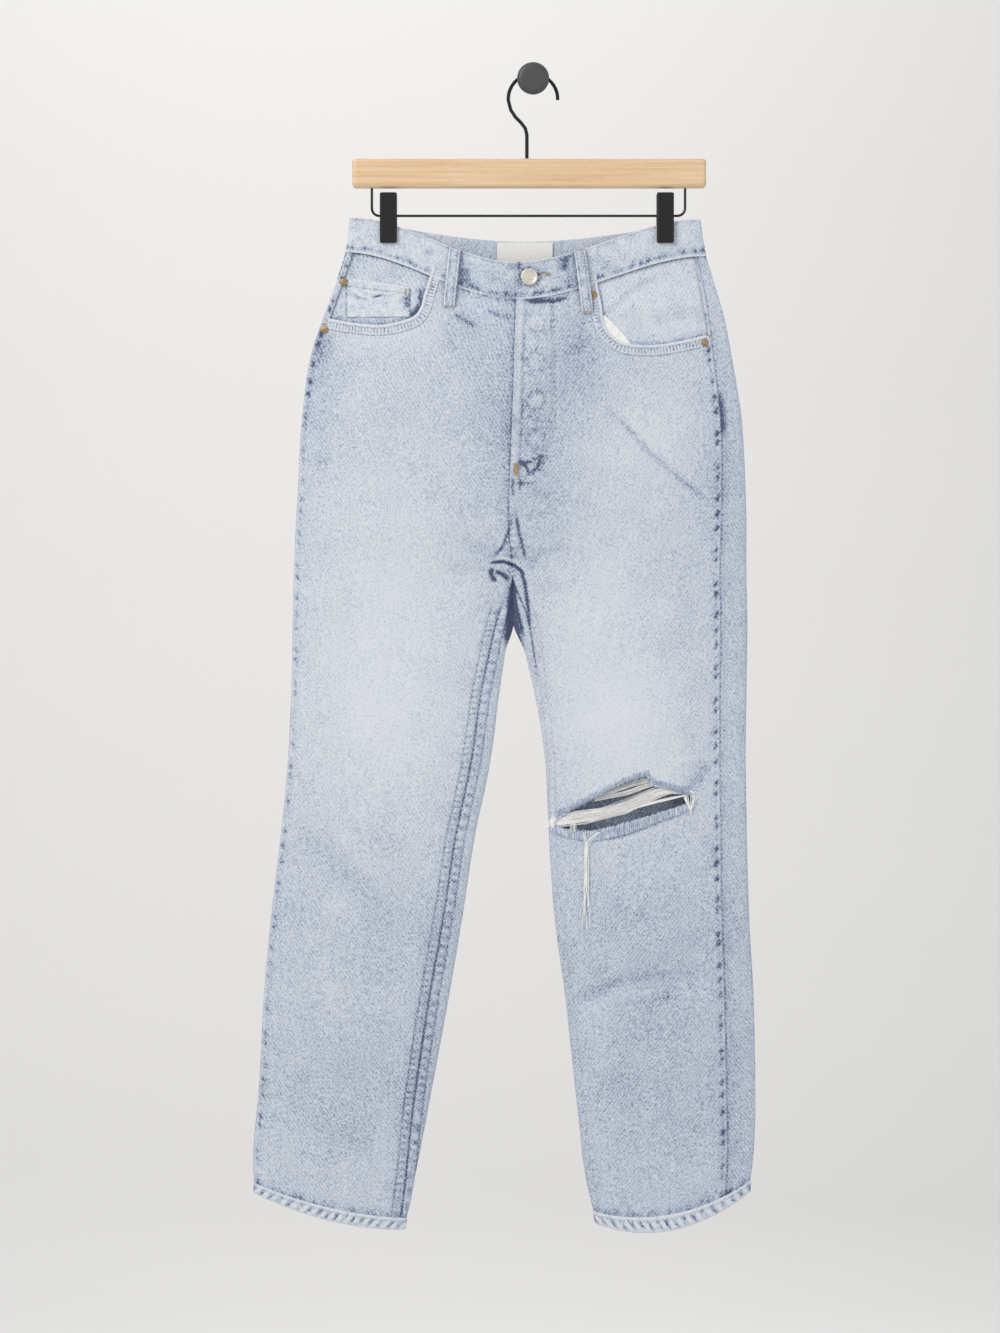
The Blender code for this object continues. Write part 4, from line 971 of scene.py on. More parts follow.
def denim_finish(name, stops):
    """Faded twill. The stops give its colours from the palest to the deepest indigo."""
    made, tree, shader = new_finish(name, stops[1][1], 0.92, Sheen_Weight=0.12, Sheen_Roughness=0.5)
    cut = add(tree, "UVMap", {"uv_map": "cut"}).outputs["UV"]
    # The wash attribute's tone is the wash's indigo, with painted shade and highlight in places.
    wash = add(tree, "Attribute", {"attribute_name": "wash"})
    tone = add(tree, "SeparateColor", links={0: wash.outputs["Color"]}).outputs[0]
    grain = patches(tree, GRAIN_MM, Detail=3.0, Roughness=0.8)
    blotch = patches(tree, BLOTCH_MM, Detail=4.0, Roughness=0.62)
    slub = patches(tree, (SLUB_MM, SLUB_MM, SLUB_MM / 0.12), Detail=2.0)
    slant = add(tree, "Mapping", {"Rotation": (0, 0, radians(-38))}, {"Vector": cut}).outputs[0]
    twill = add(tree, "TexWave", {"Scale": WAVE_TURN / (TWILL_MM * MM), "Distortion": 2.5, "Detail": 2.0,
                                  "Detail Scale": 1.6}, {"Vector": slant}).outputs[1]
    total = summed(tree, 0.0, [(tone, 1.0, 0.0), (grain, 2.0, 0.5), (blotch, 0.30, 0.5),
                               (slub, 0.20, 0.5), (twill, 0.15, 0.5)])
    height = summed(tree, 0.0, [(twill, 0.6, 0.0), (grain, 0.9, 0.0), (slub, 0.3, 0.0)])
    paint(tree, shader, total, stops, height, 0.5, 0.35)
    return made


WASH_STOPS = [(0.0, "E3E8EC"), (0.3, "D0D8E1"), (0.55, "B6C2D3"), (0.78, "8D9AB2"), (1.0, "4F5B76")]
denim = denim_finish("stone-washed cotton twill", WASH_STOPS)

# Loose cotton yarn is fuzzy: it has no gloss, and its edges look pale. Warp yarn is blue only in parts.
cotton = speckled("undyed cotton yarn", [(0.25, "EFEDE6"), (0.6, "FFFEFB")], 0.9, 1.2, 0.6, 0.3,
                  Sheen_Weight=0.7, Sheen_Roughness=0.5)
indigo_yarn = speckled("indigo warp yarn", [(0.3, "8E9FBD"), (0.5, "BCCAE0"), (0.66, "E6ECF4")], 0.9,
                       (0.9, 0.9, 6.0), Sheen_Weight=0.2)
print("finishes", denim.name, "and", cotton.name)

# %% [markdown]
# The four main panels come first. Their columns crowd towards both seams, where the puckers are
# fine, and their rows are 3 to 4 mm apart. The front panels lose their pocket mouths, and the left
# one has the rip across its knee, with a darker back behind it, because little light gets in. The
# back panels come round the folds, so that a strip of them shows from the front beside each seam, as
# it does on jeans that hang a little turned.

# %% Front and back panels
FRONT_COLUMNS = 104
BACK_COLUMNS = 84
ROW_STEP = 3.0
HEM_TUCK = 16.93
BEFORE_CLOTH, BETWEEN_LAYERS, BEHIND_CLOTH = -60, -16.4, 20


def spread(count):
    """Places from 0 to 1, closer at both ends, where the cloth bends and puckers."""
    even = [i / (count - 1) for i in range(count)]
    return [0.45 * t + 0.55 * (1 - cos(pi * t)) / 2 for t in even]


def front_turns(side, level):
    """Turns of a front panel's columns, from the side seam to its inner edge."""
    row = section(side, level)
    a, b = outer_turn(row), inner_turn(row)
    return [a + (b - a) * t for t in spread(FRONT_COLUMNS)]


def back_limits(side, level):
    """Turns of the side seam and of the inner edge of a back panel."""
    row = section(side, level)
    return outer_turn(row), -limit_turn(row) - wrap_turn(row, row.in_wrap, 2.0)


def back_turns(side, level):
    """Turns of a back panel's columns, from the side seam round to its inner edge."""
    a, b = back_limits(side, level)
    return [a + (b - a) * t for t in spread(BACK_COLUMNS)]


def levels_between(side, start, end, step=ROW_STEP):
    """Levels about a step of millimetres apart."""
    levels = [start]
    for i in range(int(start), len(SECTIONS[side]) - 1):
        a, b = max(start, i), min(end, i + 1)
        if b <= a:
            break
        top, low = SECTIONS[side][i], SECTIONS[side][i + 1]
        height = max(top.out_z - low.out_z, top.front_z - low.front_z)
        count = max(1, round(height * (b - a) / step))
        levels += [a + (b - a) * (k + 1) / count for k in range(count)]
    return levels


def yoke_line(t):
    """Level of the yoke seam, from the side to the centre back."""
    return YOKE_SIDE + (YOKE_CENTRE - YOKE_SIDE) * t


def slanted_rows(side, upper, lower, count):
    """Rows of spots round the back between two slanted lines, each a level for a place across."""
    rows = []
    for k in range(count + 1):
        row = []
        for t in spread(BACK_COLUMNS):
            level = upper(t) + (lower(t) - upper(t)) * k / count
            a, b = back_limits(side, level)
            spot = spot_at(side, level, a + (b - a) * t)
            u = row[-1].u + (spot.point.xy - row[-1].point.xy).length if row else 0.0
            row.append(spot._replace(u=u))
        rows.append(row)
    return rows


POCKETS = {
    "right": [(-104, -195), (-109, -210), (-114, -227), (-118, -241), (-128, -251), (-157, -258),
              (-187, -256), (-214, -251)],
    "left": [(66, -205), (68, -219), (71, -236), (75, -259), (87, -273), (104, -279), (132, -279),
             (160, -274), (184, -268)],
}
POCKET_STRIP = {"right": 8.0, "left": 11.5}


def mouth_outline(side):
    """Outline of what a pocket mouth cuts away, up to the waist seam."""
    curve = curve_through(POCKETS[side], 2.5)
    out = -1 if side == "right" else 1
    waist = section(side, 1.0)
    corner = (waist.out_x - out * POCKET_STRIP[side], waist.out_z)
    return [(curve[0][0], -150)] + curve + [corner, (corner[0], -150)]


def rip_outline():
    """The rip's edge, ragged where the twill has frayed."""
    edge = curve_through(RIP + RIP[:1], 1.6)[:-1]
    return [(x + 0.5 * sin(2.3 * i), z + 0.8 * sin(1.9 * i) + 0.5 * sin(4.7 * i))
            for i, (x, z) in enumerate(edge)]


def shade_inside(piece, middle, reach, amount):
    """Darken a back panel's inner face round a place in mm, where no light comes in through the rip."""
    wash = piece.data.color_attributes["wash"].data
    for face in piece.data.polygons:
        if face.normal.y < 0:
            across = (face.center.x / MM - middle[0]) / reach[0]
            down = (face.center.z / MM - middle[1]) / reach[1]
            more = amount * exp(-across ** 2 - down ** 2)
            for corner in face.loop_indices:
                wash[corner].color = (wash[corner].color[0] + more, 0.0, 0.0, 1.0)


for side in SECTIONS:
    levels = levels_between(side, 1.0, 6.6) + levels_between(side, 6.6, 8.3, 1.4)[1:]
    levels += levels_between(side, 8.3, HEM_TUCK)[1:]
    rows = [cloth_row(side, level, front_turns(side, level)) for level in levels]
    piece = wall("front_" + side, rows, denim, DENIM)
    cut_through(piece, mouth_outline(side), BEFORE_CLOTH, BEHIND_CLOTH)
    if side == "left":
        cut_through(piece, rip_outline(), BEFORE_CLOTH, BETWEEN_LAYERS)
    rows = slanted_rows(side, yoke_line, lambda t: 4.0, 24)
    rows += [cloth_row(side, level, back_turns(side, level))
             for level in levels_between(side, 4.0, HEM_TUCK, 4.0)[1:]]
    piece = wall("back_" + side, rows, denim, DENIM)
    if side == "left":
        shade_inside(piece, (92, -770), (85, 32), 0.4)
    wall("yoke_" + side, slanted_rows(side, lambda t: 1.0, yoke_line, 20), denim, DENIM)

# %% [markdown]
# The waistband is one long strip, folded along its top edge and sewn shut along the waist seam. It is
# a closed ring of points swept round the waist: up its outside, over the fold and down its inside.
# Its right end passes under the fly, and its left end laps over it, where the button closes both.

# %% Waistband
BAND_TOP = [(0.010, 0.35), (-0.006, -0.2), (-0.012, -0.8), (-0.006, -1.4), (0.012, -1.95)]
BAND_FOOT = [(1.012, -1.9), (1.018, -0.8), (1.016, 0.25)]
BAND_OUT = [(0.99 - 0.96 * i / 17, BAND_LIFT / MM) for i in range(18)]
BAND_IN = [(0.03 + 0.95 * i / 9, (BAND_LIFT - BAND) / MM) for i in range(10)]
BAND_STEPS = 189
UNDER_LAP = 3.4
BUTTON_X = -4.2
BUTTON_Z = -208.0


def band_dress(side, face, level, x, z):
    """Lift and tone of the waistband: two rows of stitches, worn edges, wrinkles by the loops, and painted
    shade beside the loops, in the buttonhole, at the lapped end and round the button.
    """
    seed = 3.0 if face > 0 else 8.0
    lift = 0.8 * patchy(x / 30, z / 60, seed) + 0.5 * patchy(x / 11, z / 16, seed)
    from_edge = min(abs(level), abs(1 - level)) * BAND_ROW_MM
    rope = 0.5 + 0.5 * sin(2 * pi * x / 5.6 + 1.8 * sin(x / 13))
    lift += 0.40 * ridge(from_edge, 1.4, 1.4) * rope - 0.40 * ridge(from_edge, 3.3, 0.8)
    tone = 0.30 - 0.24 * ridge(from_edge, 0, 1.8) + 0.22 * ridge(from_edge, 3.8, 1.3)
    tone += 0.16 * ridge(from_edge, 2.0, 1.5) * (1 - rope)
    blot = patchy(x / 6, z / 8, 4.0)
    tone += 0.16 * blot + 0.24 * patchy(x / 17, z / 13, 9.0) * smooth(from_edge / 4)
    pucker = dots(x, 9.4, 2.4, 2.0) * ridge((1 - level) * BAND_ROW_MM, 5.0, 2.6)
    tone += 0.55 * pucker
    lift -= 0.5 * pucker
    if face > 0:
        tone += 0.14 * ridge(x, -30, 46) * smooth(level * 2)
        tone += 0.10 * ridge(x, 44, 22) - 0.08 * ridge(x, -145, 40)
        # Dark mottled patches beside the two front loops: painted shade, the right loop's shadow and shade in
        # the wrinkles by the left one, over mottled indigo.
        tone += (0.50 + 0.7 * blot) * (ridge(x, -73, 6.5) * ridge(level, 0.55, 0.42)
                                       + ridge(x, 33, 7) * ridge(level, 0.35, 0.3)
                                       + 0.8 * ridge(x, 45, 5) * ridge(level, 0.75, 0.3))
        lift -= 0.6 * (ridge(x, -72, 5) + ridge(x, 40, 4)) * ridge(level, 0.55, 0.35)
        hole = ridge(x, 10, 6.5) * ridge(z, -204.5, 1.0)
        rim = ridge(x, 10, 8.0) * ridge(abs(z + 204.5), 2.3, 0.9)
        if side == "left":
            lift += 0.5 * rim - 1.2 * hole
            # The buttonhole's slit is darkened as painted shade.
            tone += 0.7 * hole
            # The lapped end's edge is darkened as painted shade.
            tone += ridge(x, -14.5, 2.4) * (0.14 + 0.55 * ridge(level, 0.12, 0.18))
            # A dark ring round the button is painted shadow.
            tone += 0.30 * ridge(hypot(x - BUTTON_X, z - BUTTON_Z), 9.5, 3.0)
    return lift, tone


def band_ring(side, turn, inward):
    """Ring of spots round the folded band at a turn, moved in by inward mm."""
    ring = []
    for level, lift in BAND_OUT + BAND_TOP + BAND_IN + BAND_FOOT:
        inside = lift < -1.5
        spot = spot_at(side, level, turn, lift - inward, None if inside else band_dress)
        ring.append(spot._replace(v=level * BAND_ROW_MM * MM, tone=0.40 if inside else spot.tone))
    return ring + [ring[0]]


rings = [band_ring("left", find("left", 1, x, -208)[1], UNDER_LAP) for x in range(16, -18, -4)]
start = find("right", 1, -20, -205)[1]
for i in range(BAND_STEPS + 1):
    turn = start - (start + pi / 2) * i / BAND_STEPS
    x = flat_point("right", 0.5, turn)[0]
    rings.append(band_ring("right", turn, UNDER_LAP * smooth((x + 68) / 40) if turn > 0 else 0.0))
rings += [band_ring("left", -pi / 2 + pi * i / BAND_STEPS, 0.0) for i in range(1, BAND_STEPS + 1)]
along = 0.0
swept = [rings[0]]
for before, ring in zip(rings, rings[1:]):
    along += (ring[8].point - before[8].point).length
    swept.append([spot._replace(u=along) for spot in ring])
waistband = show("waistband_cloth", grid_mesh("waistband_cloth", swept, True), denim)
waistband.data.set_sharp_from_angle(angle=radians(70))
keep_sheet("waistband", waistband)
print("waistband", round(along * 1000), "mm long,", len(waistband.data.polygons), "faces")

# %% [markdown]
# Belt loops are strips folded in three and tacked at both ends. They stand off the band in the
# middle. Their two edges wear pale, their outermost rims are darkened as painted shade where they
# turn down to the band, and their middle keeps its blue.

# %% Belt loops
Loop = namedtuple("Loop", "name side face top foot")
LOOPS = [
    Loop("belt_loop_front_right", "right", 1, (-81, -171), (-88, -240)),
    Loop("belt_loop_front_left", "left", 1, (48, -176), (57, -246)),
    Loop("belt_loop_back_right", "right", -1, (-124, -162), (-127, -224)),
    Loop("belt_loop_back_left", "left", -1, (104, -162), (107, -224)),
    Loop("belt_loop_back_centre", "right", -1, (-9, -170), (-9, -236)),
]
LOOP_WIDTH = 13.0
LOOP_BASE = 2.5
LOOP_BULGE = 2.4


def loop_rows(loop):
    """Rows of spots down a belt loop, from its top to its foot."""
    rows = []
    for i in range(45):
        t = i / 44
        rise = LOOP_BULGE * smooth(1.6 * sin(pi * t)) - 0.8 * ridge(min(t, 1 - t), 0, 0.04)
        row = []
        for j in range(17):
            across = j / 8 - 1
            x = loop.top[0] + (loop.foot[0] - loop.top[0]) * t + across * LOOP_WIDTH / 2
            z = loop.top[1] + (loop.foot[1] - loop.top[1]) * t
            rope = 0.5 + 0.5 * sin(2 * pi * i / 4.3 + 3 * across)
            lift = LOOP_BASE + rise - 1.1 * abs(across) ** 6 + 0.35 * ridge(abs(across), 0.8, 0.16) * rope
            lift -= 0.3 * ridge(abs(across), 0.56, 0.1)
            blot = patchy(x / 3.5, z / 7, 1.0)
            tone = 0.44 - 0.30 * ridge(abs(across), 0.82, 0.14) + 0.30 * blot
            tone += 0.26 * ridge(abs(across), 0.58, 0.12)
            # The outermost rims turn down to the band: their darker tone is painted shade.
            tone += 0.6 * max(0.0, abs(across) - 0.9) / 0.1
            spot = skin(loop.side, loop.face, x, z, lift, None)
            row.append(spot._replace(tone=tone))
        rows.append(row)
    return rows


for loop in LOOPS:
    wall(loop.name, loop_rows(loop), denim, 1.4 * MM)
print(len(LOOPS), "belt loops")

# %% [markdown]
# Behind each pocket mouth lies a facing of the same denim, and on the right one a coin pocket, its
# top turned down and sewn twice. At the left a sliver of the white pocket cloth shows. Two back
# pockets lie on the seat, plain but for the double stitching round them, and the label is blank.

# %% Facings, coin pocket, back pockets and label
FACING_LIFT = -2.35
COIN = (-197, -129, -249, -207)
COIN_WIDTH = COIN[1] - COIN[0]
COIN_HEIGHT = COIN[3] - COIN[2]
FACING_FOLD = [(80, -243), (100, -222), (126, -205)]
FACING_WEDGE = [(-119, -222), (-117, -236), (-127, -247)]


def facing_dress(side, face, level, x, z):
    """Lift and tone of the cloth inside a pocket mouth, with painted shade where the mouth's edge and the
    band shade it.
    """
    blot = patchy(x / 14, z / 14, 6.0)
    lift = 0.35 * patchy(x / 22, z / 22, 6.0)
    shade = ridge(near_line(POCKETS[side], x, z)[0], 0, 4.5)
    below_band = ridge((level - 1.0) * WAIST_ROW_MM, 0, 3.0)
    # The mouth's edge and the line just under the band are darkened as painted shade.
    tone = 0.22 + 0.14 * blot + 0.34 * shade + 0.35 * below_band
    if side == "right":
        return lift, tone + 0.12 + 0.6 * ridge(near_line(FACING_WEDGE, x, z)[0], 0, 3.4)
    fold = ridge(near_line(FACING_FOLD, x, z)[0], 0, 3.0)
    return lift + 0.9 * fold, tone + 0.22 * fold


def laid(side, face, x_range, z_range, count, lift, dress, slant=0.0):
    """Rows of spots of a patch laid on the cloth. dress gives lift and tone from u and v, 0 to 1."""
    (x0, x1), (z0, z1) = x_range, z_range
    rows = []
    for k in range(count[1]):
        v = k / (count[1] - 1)
        row = []
        for i in range(count[0]):
            u = i / (count[0] - 1)
            more, tone = dress(u, v)
            z = z1 + (z0 - z1) * v - slant * u * (1 - v)
            spot = skin(side, face, x0 + (x1 - x0) * u, z, lift + more, None)
            row.append(spot._replace(tone=tone))
        rows.append(row)
    return rows


def coin_dress(u, v):
    """The coin pocket: a sewn top hem, worn edges and a wrinkle across it, darkened as painted shade."""
    edge = min(u, 1 - u) * COIN_WIDTH
    down = v * COIN_HEIGHT
    blot = patchy(u * 9, v * 6, 3.0)
    broken = max(0.0, 0.55 + 1.3 * patchy(u * 7, v * 3, 13.0))
    wrinkle = ridge(down, 18 + 3.5 * sin(9 * u - 1), 1.6) * ridge(u, 0.42, 0.24) * broken
    wrinkle += ridge(u, 0.94, 0.05) * ridge(down, 21, 8)
    rope = 0.5 + 0.5 * sin(u * COIN_WIDTH / 2.1)
    lift = 0.5 * ridge(down, 5, 5) + 0.25 * rope * ridge(down, 4, 3) - 0.35 * ridge(down, 9.5, 1.2)
    lift += 0.7 * patchy(u * 6, v * 4, 5.0) - 1.2 * wrinkle - 0.9 * ridge(edge, 0, 1.5)
    # The wrinkle's darker tone is painted shade in its dip.
    tone = 0.20 + 0.34 * blot - 0.22 * ridge(down, 0, 2.0) + 0.9 * wrinkle
    tone += 0.60 * ridge(edge, 0, 1.8) + 0.30 * ridge(down, 9.8, 1.6) * rope
    return lift, tone


def pocket_dress(u, v, width, height):
    """A back pocket: its top hem, and edges that rope between two rows of stitches."""
    edge = min(u * width, (1 - u) * width, (1 - v) * height)
    down = v * height
    rope = 0.5 + 0.5 * sin((u * width + v * height) / 1.05)
    lift = 0.35 * patchy(u * 5, v * 5, 7.0) - 0.9 * ridge(edge, 0, 1.2)
    lift += 0.35 * rope * ridge(edge, 4.0, 2.6) - 0.35 * ridge(edge, 8.2, 1.0)
    lift += 0.45 * ridge(down, 7, 6) - 0.35 * ridge(down, 15, 1.0)
    tone = 0.20 - 0.16 * ridge(edge, 0, 1.4) + 0.30 * (1 - rope) * ridge(edge, 4.2, 2.6)
    tone += 0.18 * ridge(edge, 8.6, 1.2) + 0.18 * ridge(down, 15.4, 1.4) - 0.12 * ridge(down, 0, 2)
    return lift, tone


for side, (a, b) in (("right", (0.12, 0.80)), ("left", (0.03, 0.80))):
    rows = []
    for k in range(52):
        level = 1.03 + 2.45 * k / 51
        turn_a, turn_b = outer_turn(section(side, level)), inner_turn(section(side, level))
        turns = [turn_a + (turn_b - turn_a) * (a + (b - a) * i / 47) for i in range(48)]
        rows.append(cloth_row(side, level, turns, FACING_LIFT, facing_dress))
    wall("pocket_facing_" + side, rows, denim, 1.1 * MM)

coin_rows = laid("right", 1, COIN[:2], COIN[2:], (48, 34), -0.85, coin_dress, 11.0)
wall("coin_pocket", coin_rows, denim, 1.2 * MM)

# Woven tape is smooth and nearly white, and its picks show as faint level lines.
woven = speckled("woven cotton tape", [(0.3, "EDEAE2"), (0.6, "FAF8F3")], 0.85, (2.4, 2.4, 0.8), 0.4, 0.15,
                 Sheen_Weight=0.15)
rows = laid("right", -1, (-38, 21), (-190, -169), (40, 16), -3.3, lambda u, v: (0.1 * sin(9 * u), 0.2))
wall("label", rows, woven, 0.6 * MM)

BACK_POCKET_MIDDLE = {"right": -128, "left": 106}
BACK_POCKET_TOP = -292
BACK_POCKET_WIDTH = 142.0
BACK_POCKET_HEIGHT = 150.0
BACK_POCKET_POINT = 26.0
for side, middle in BACK_POCKET_MIDDLE.items():
    rows = []
    for k in range(60):
        t = k / 59
        half = BACK_POCKET_WIDTH / 2 * (1 - 0.14 * t)
        row = []
        for i in range(57):
            u = i / 28 - 1
            point = BACK_POCKET_POINT * (1 - abs(u)) * t
            z = BACK_POCKET_TOP - (BACK_POCKET_HEIGHT - BACK_POCKET_POINT) * t - point
            lift, tone = pocket_dress(i / 56, t, 2 * half, BACK_POCKET_HEIGHT)
            spot = skin(side, -1, middle + u * half, z, 2.1 + lift)
            row.append(spot._replace(tone=tone + 0.5 * (spot.tone - 0.3)))
        rows.append(row)
    wall("back_pocket_" + side, rows, denim, DENIM)

# %% [markdown]
# The pocket mouths and the hems are folded strips. Each is a closed ring of points swept along its
# line. Sewn cotton shrinks more than its thread, so that the strip ropes between its stitches: a
# ladder of pale ridges and blue dips, about 3 mm apart. The left mouth gapes a little, so that a
# sliver of the white pocket cloth shows inside its curve.

# %% Pocket mouths and hems
MOUTH_RING = [(11.6, -0.5), (11.2, 0.12), (10.4, 0.28), (9.2, 0.55), (7.9, 0.70), (6.5, 0.74), (5.1, 0.72),
              (3.9, 0.66), (3.0, 0.52), (2.3, 0.62), (1.5, 0.90), (0.7, 1.0), (0.0, 0.85), (-0.6, 0.35),
              (-0.8, -0.35), (-0.5, -1.1), (0.3, -1.55), (3.0, -1.6), (7.0, -1.5), (11.4, -1.1)]
HEM_RING = [(16.662, -0.4), (16.668, 0.45), (16.68, 0.95), (16.70, 1.05), (16.725, 0.75), (16.76, 0.95),
            (16.80, 1.1), (16.84, 1.15), (16.88, 1.15), (16.92, 1.1), (16.955, 1.0), (16.98, 0.85),
            (16.996, 0.45), (17.004, -0.2), (17.006, -0.9), (17.0, -1.6), (16.985, -2.1), (16.90, -2.4),
            (16.78, -2.4), (16.68, -2.2), (16.664, -1.4)]
HEM_STEPS = 420


def mouth_strip(side):
    """Folded strip along a pocket mouth, over the panel's cut edge."""
    curve = curve_through(POCKETS[side], 0.85)
    hand = -1 if side == "right" else 1
    rings, along = [], 0.0
    for i, (x, z) in enumerate(curve):
        (ax, az), (bx, bz) = curve[max(i - 1, 0)], curve[min(i + 1, len(curve) - 1)]
        size = hypot(bx - ax, bz - az)
        if i:
            along += hypot(x - curve[i - 1][0], z - curve[i - 1][1])
        nx, nz = -hand * (bz - az) / size, hand * (bx - ax) / size
        rung = 0.5 + 0.5 * sin(2 * pi * along / 3.3 + 0.9 * sin(along / 9))
        ring = []
        for d, lift in MOUTH_RING:
            band = ridge(d, 6.4, 3.2)
            ladder = band * (rung - 0.5)
            blot = patchy(x / 9, z / 9, 8.0)
            tone = 0.34 + 0.95 * band * (0.55 - rung) * (0.8 + blot) - 0.42 * ridge(d, 0.6, 1.5)
            tone += 0.34 * ridge(d, 3.0, 0.8) + 0.34 * ridge(d, 10.8, 0.9) - 0.24 * ridge(d, 9.3, 0.9)
            away = lift + (0.6 * ladder if lift > 0 else 0.0)
            spot = skin(side, 1, x + nx * -d, z + nz * -d, away, dressed if lift > -0.4 else None)
            ring.append(spot._replace(u=along * MM, v=d * MM, tone=tone))
        rings.append(ring + ring[:1])
    return rings


def hem_strip(side):
    """Folded hem round the leg, whose rope runs on a slant."""
    rings, along = [], 0.0
    for i in range(HEM_STEPS + 1):
        turn = 2 * pi * i / HEM_STEPS
        flat = flat_point(side, 16.85, turn)
        if i:
            along += hypot(flat[0] - last[0], flat[1] - last[1])
        last = flat
        ring = []
        for level, lift in HEM_RING:
            down = (level - HEM_TOP) * HEM_ROW_MM
            slant = 0.5 + 0.5 * sin(2 * pi * (along + 0.55 * down) / 9.5 + 1.1 * sin(along / 15))
            band = ridge(down, 7.5, 5.0)
            blot = patchy(along / 8, down / 8, 3.0)
            tone = 0.34 + 0.95 * band * (0.5 - slant) * (0.9 + 1.2 * blot) - 0.34 * ridge(down, 0.8, 1.3)
            tone += 0.24 * ridge(down, 2.7, 1.0) - 0.22 * ridge(down, 14.0, 1.8) + 0.12 * blot
            spot = spot_at(side, level, turn, lift + (0.45 * band * (slant - 0.5) if lift > 0 else 0.0),
                           dressed if lift > 0.4 else None)
            ring.append(spot._replace(u=along * MM, v=down * MM, tone=tone))
        rings.append(ring + ring[:1])
    return rings


for side in SECTIONS:
    for name, rings in (("pocket_mouth_" + side, mouth_strip(side)), ("hem_" + side, hem_strip(side))):
        piece = show(name, grid_mesh(name, rings, True), denim)
        piece.data.set_sharp_from_angle(angle=radians(75))

edge = curve_through([(73.0, -250), (76, -262), (85, -272), (94, -276.5), (102, -279.5)], 2.0)
inner = curve_through([(74.5, -247.5), (82, -254.5), (89, -261.5), (95.5, -268.5), (103.5, -278.5)], 1.75)
count = min(len(edge), len(inner))
rows = []
for k in range(7):
    t = k / 6
    row = []
    for i in range(count):
        x = inner[i][0] + (edge[i][0] - inner[i][0]) * t
        z = inner[i][1] + (edge[i][1] - inner[i][1]) * t
        spot = skin("left", 1, x, z, -0.9 + 0.35 * sin(1.1 * i) * sin(pi * t), None)
        row.append(spot._replace(tone=0.3))
    rows.append(row)
wall("pocket_bag_left", rows, cotton, 0.9 * MM)

# %% [markdown]
# A rip shows how denim is made. Its blue warp threads, which run down the leg, wear through first,
# and the white weft threads that run across stay as a bundle. The cut warp ends fray: a blue fringe
# lies along the upper edge, and a lip of short ends along the lower one. Each thread is a spline of
# one curve with a round bevel, because a curve keeps its thickness round every bend.

# %% Threads of the rip
def threads(name, lines, radius_mm, finish, node=None):
    """Many threads as one piece. Each line is a list of points, and thins towards its end."""
    curve = bpy.data.curves.new(name, "CURVE")
    curve.dimensions = "3D"
    for line in lines:
        spline = curve.splines.new("POLY")
        spline.points.add(len(line) - 1)
        for i, (point, where) in enumerate(zip(spline.points, line)):
            point.co = (*where, 1)
            point.radius = 1.0 - 0.5 * (i / (len(line) - 1)) ** 3
    curve.bevel_depth = radius_mm * MM
    curve.bevel_resolution = 1
    curve.use_fill_caps = True
    source = put("source", curve)
    graph = bpy.context.evaluated_depsgraph_get()
    mesh = bpy.data.meshes.new_from_object(source.evaluated_get(graph))
    bpy.data.objects.remove(source)
    mesh.materials.clear()
    mesh.name = name
    piece = show(name, mesh, finish)
    if node:
        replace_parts(piece, node)
    return piece


def wander(n, seed):
    """Repeatable value from about -1 to 1 for thread n."""
    return patchy(n * 0.731 + 0.17, seed, 0.5) * 1.8


def over(x, z, lift):
    """Point a lift in mm above the left front panel's smooth surface."""
    return skin("left", 1, x, z, lift, None).point


def along_line(points, t):
    """Place a given way along a line of points."""
    span = min(max(t, 0.0), 0.9999) * (len(points) - 1)
    i = int(span)
    return tuple(a + (b - a) * (span - i) for a, b in zip(points[i], points[i + 1]))


# The upper and lower edges of the two bundles of white threads, and the line of a loose strand.
MAIN_TOP = [(12.5, -779.5), (27, -772.8), (50, -768), (76, -764.5), (99, -756), (123, -745.5), (139, -742),
            (155, -743.5), (169, -748)]
MAIN_LOW = [(12, -785), (27, -784), (50, -781), (67, -777), (99, -768.5), (115, -761), (131, -753),
            (147, -747.5), (169, -752)]
UPPER_TOP = [(127, -732), (113, -735.5), (99, -740.5), (85, -745.5), (66, -752)]
UPPER_LOW = [(128, -741), (114, -745), (99, -749.5), (85, -753), (64, -758)]
STRAND = [(96, -769), (112, -763.5), (128, -758.8), (144, -755), (156, -752.5), (167, -750)]
MAIN_COUNT = 70
UPPER_COUNT = 24
bundles = []
for n in range(MAIN_COUNT):
    share = (n + 0.5) / MAIN_COUNT
    share = 0.5 + 0.5 * copysign(abs(2 * share - 1) ** 0.8, 2 * share - 1)
    line = []
    for k in range(15):
        t = k / 14
        (ax, az), (bx, bz) = along_line(MAIN_TOP, t), along_line(MAIN_LOW, t)
        drift = 1.7 * wander(n + 3 * k / 14, 1.0) * sin(pi * t) + 0.4 * wander(n * 3 + k, 6.0)
        squeeze = 0.5 + (share - 0.5) * (0.86 + 0.14 * abs(2 * t - 1))
        x = ax + (bx - ax) * squeeze
        lift = 2.0 - (2.9 + 0.9 * wander(n * 2 + k / 5, 2.0) * sin(pi * t)) * smooth((x - 17) / 12)
        line.append(over(x, az + (bz - az) * squeeze + drift, lift))
    bundles.append(line)
for n in range(14):
    shift = 1.5 * wander(n, 15.0)
    bundles.append([over(x, z + shift * sin(pi * k / 5) + 0.25 * (n % 3), -0.9)
                    for k, (x, z) in enumerate(STRAND)])
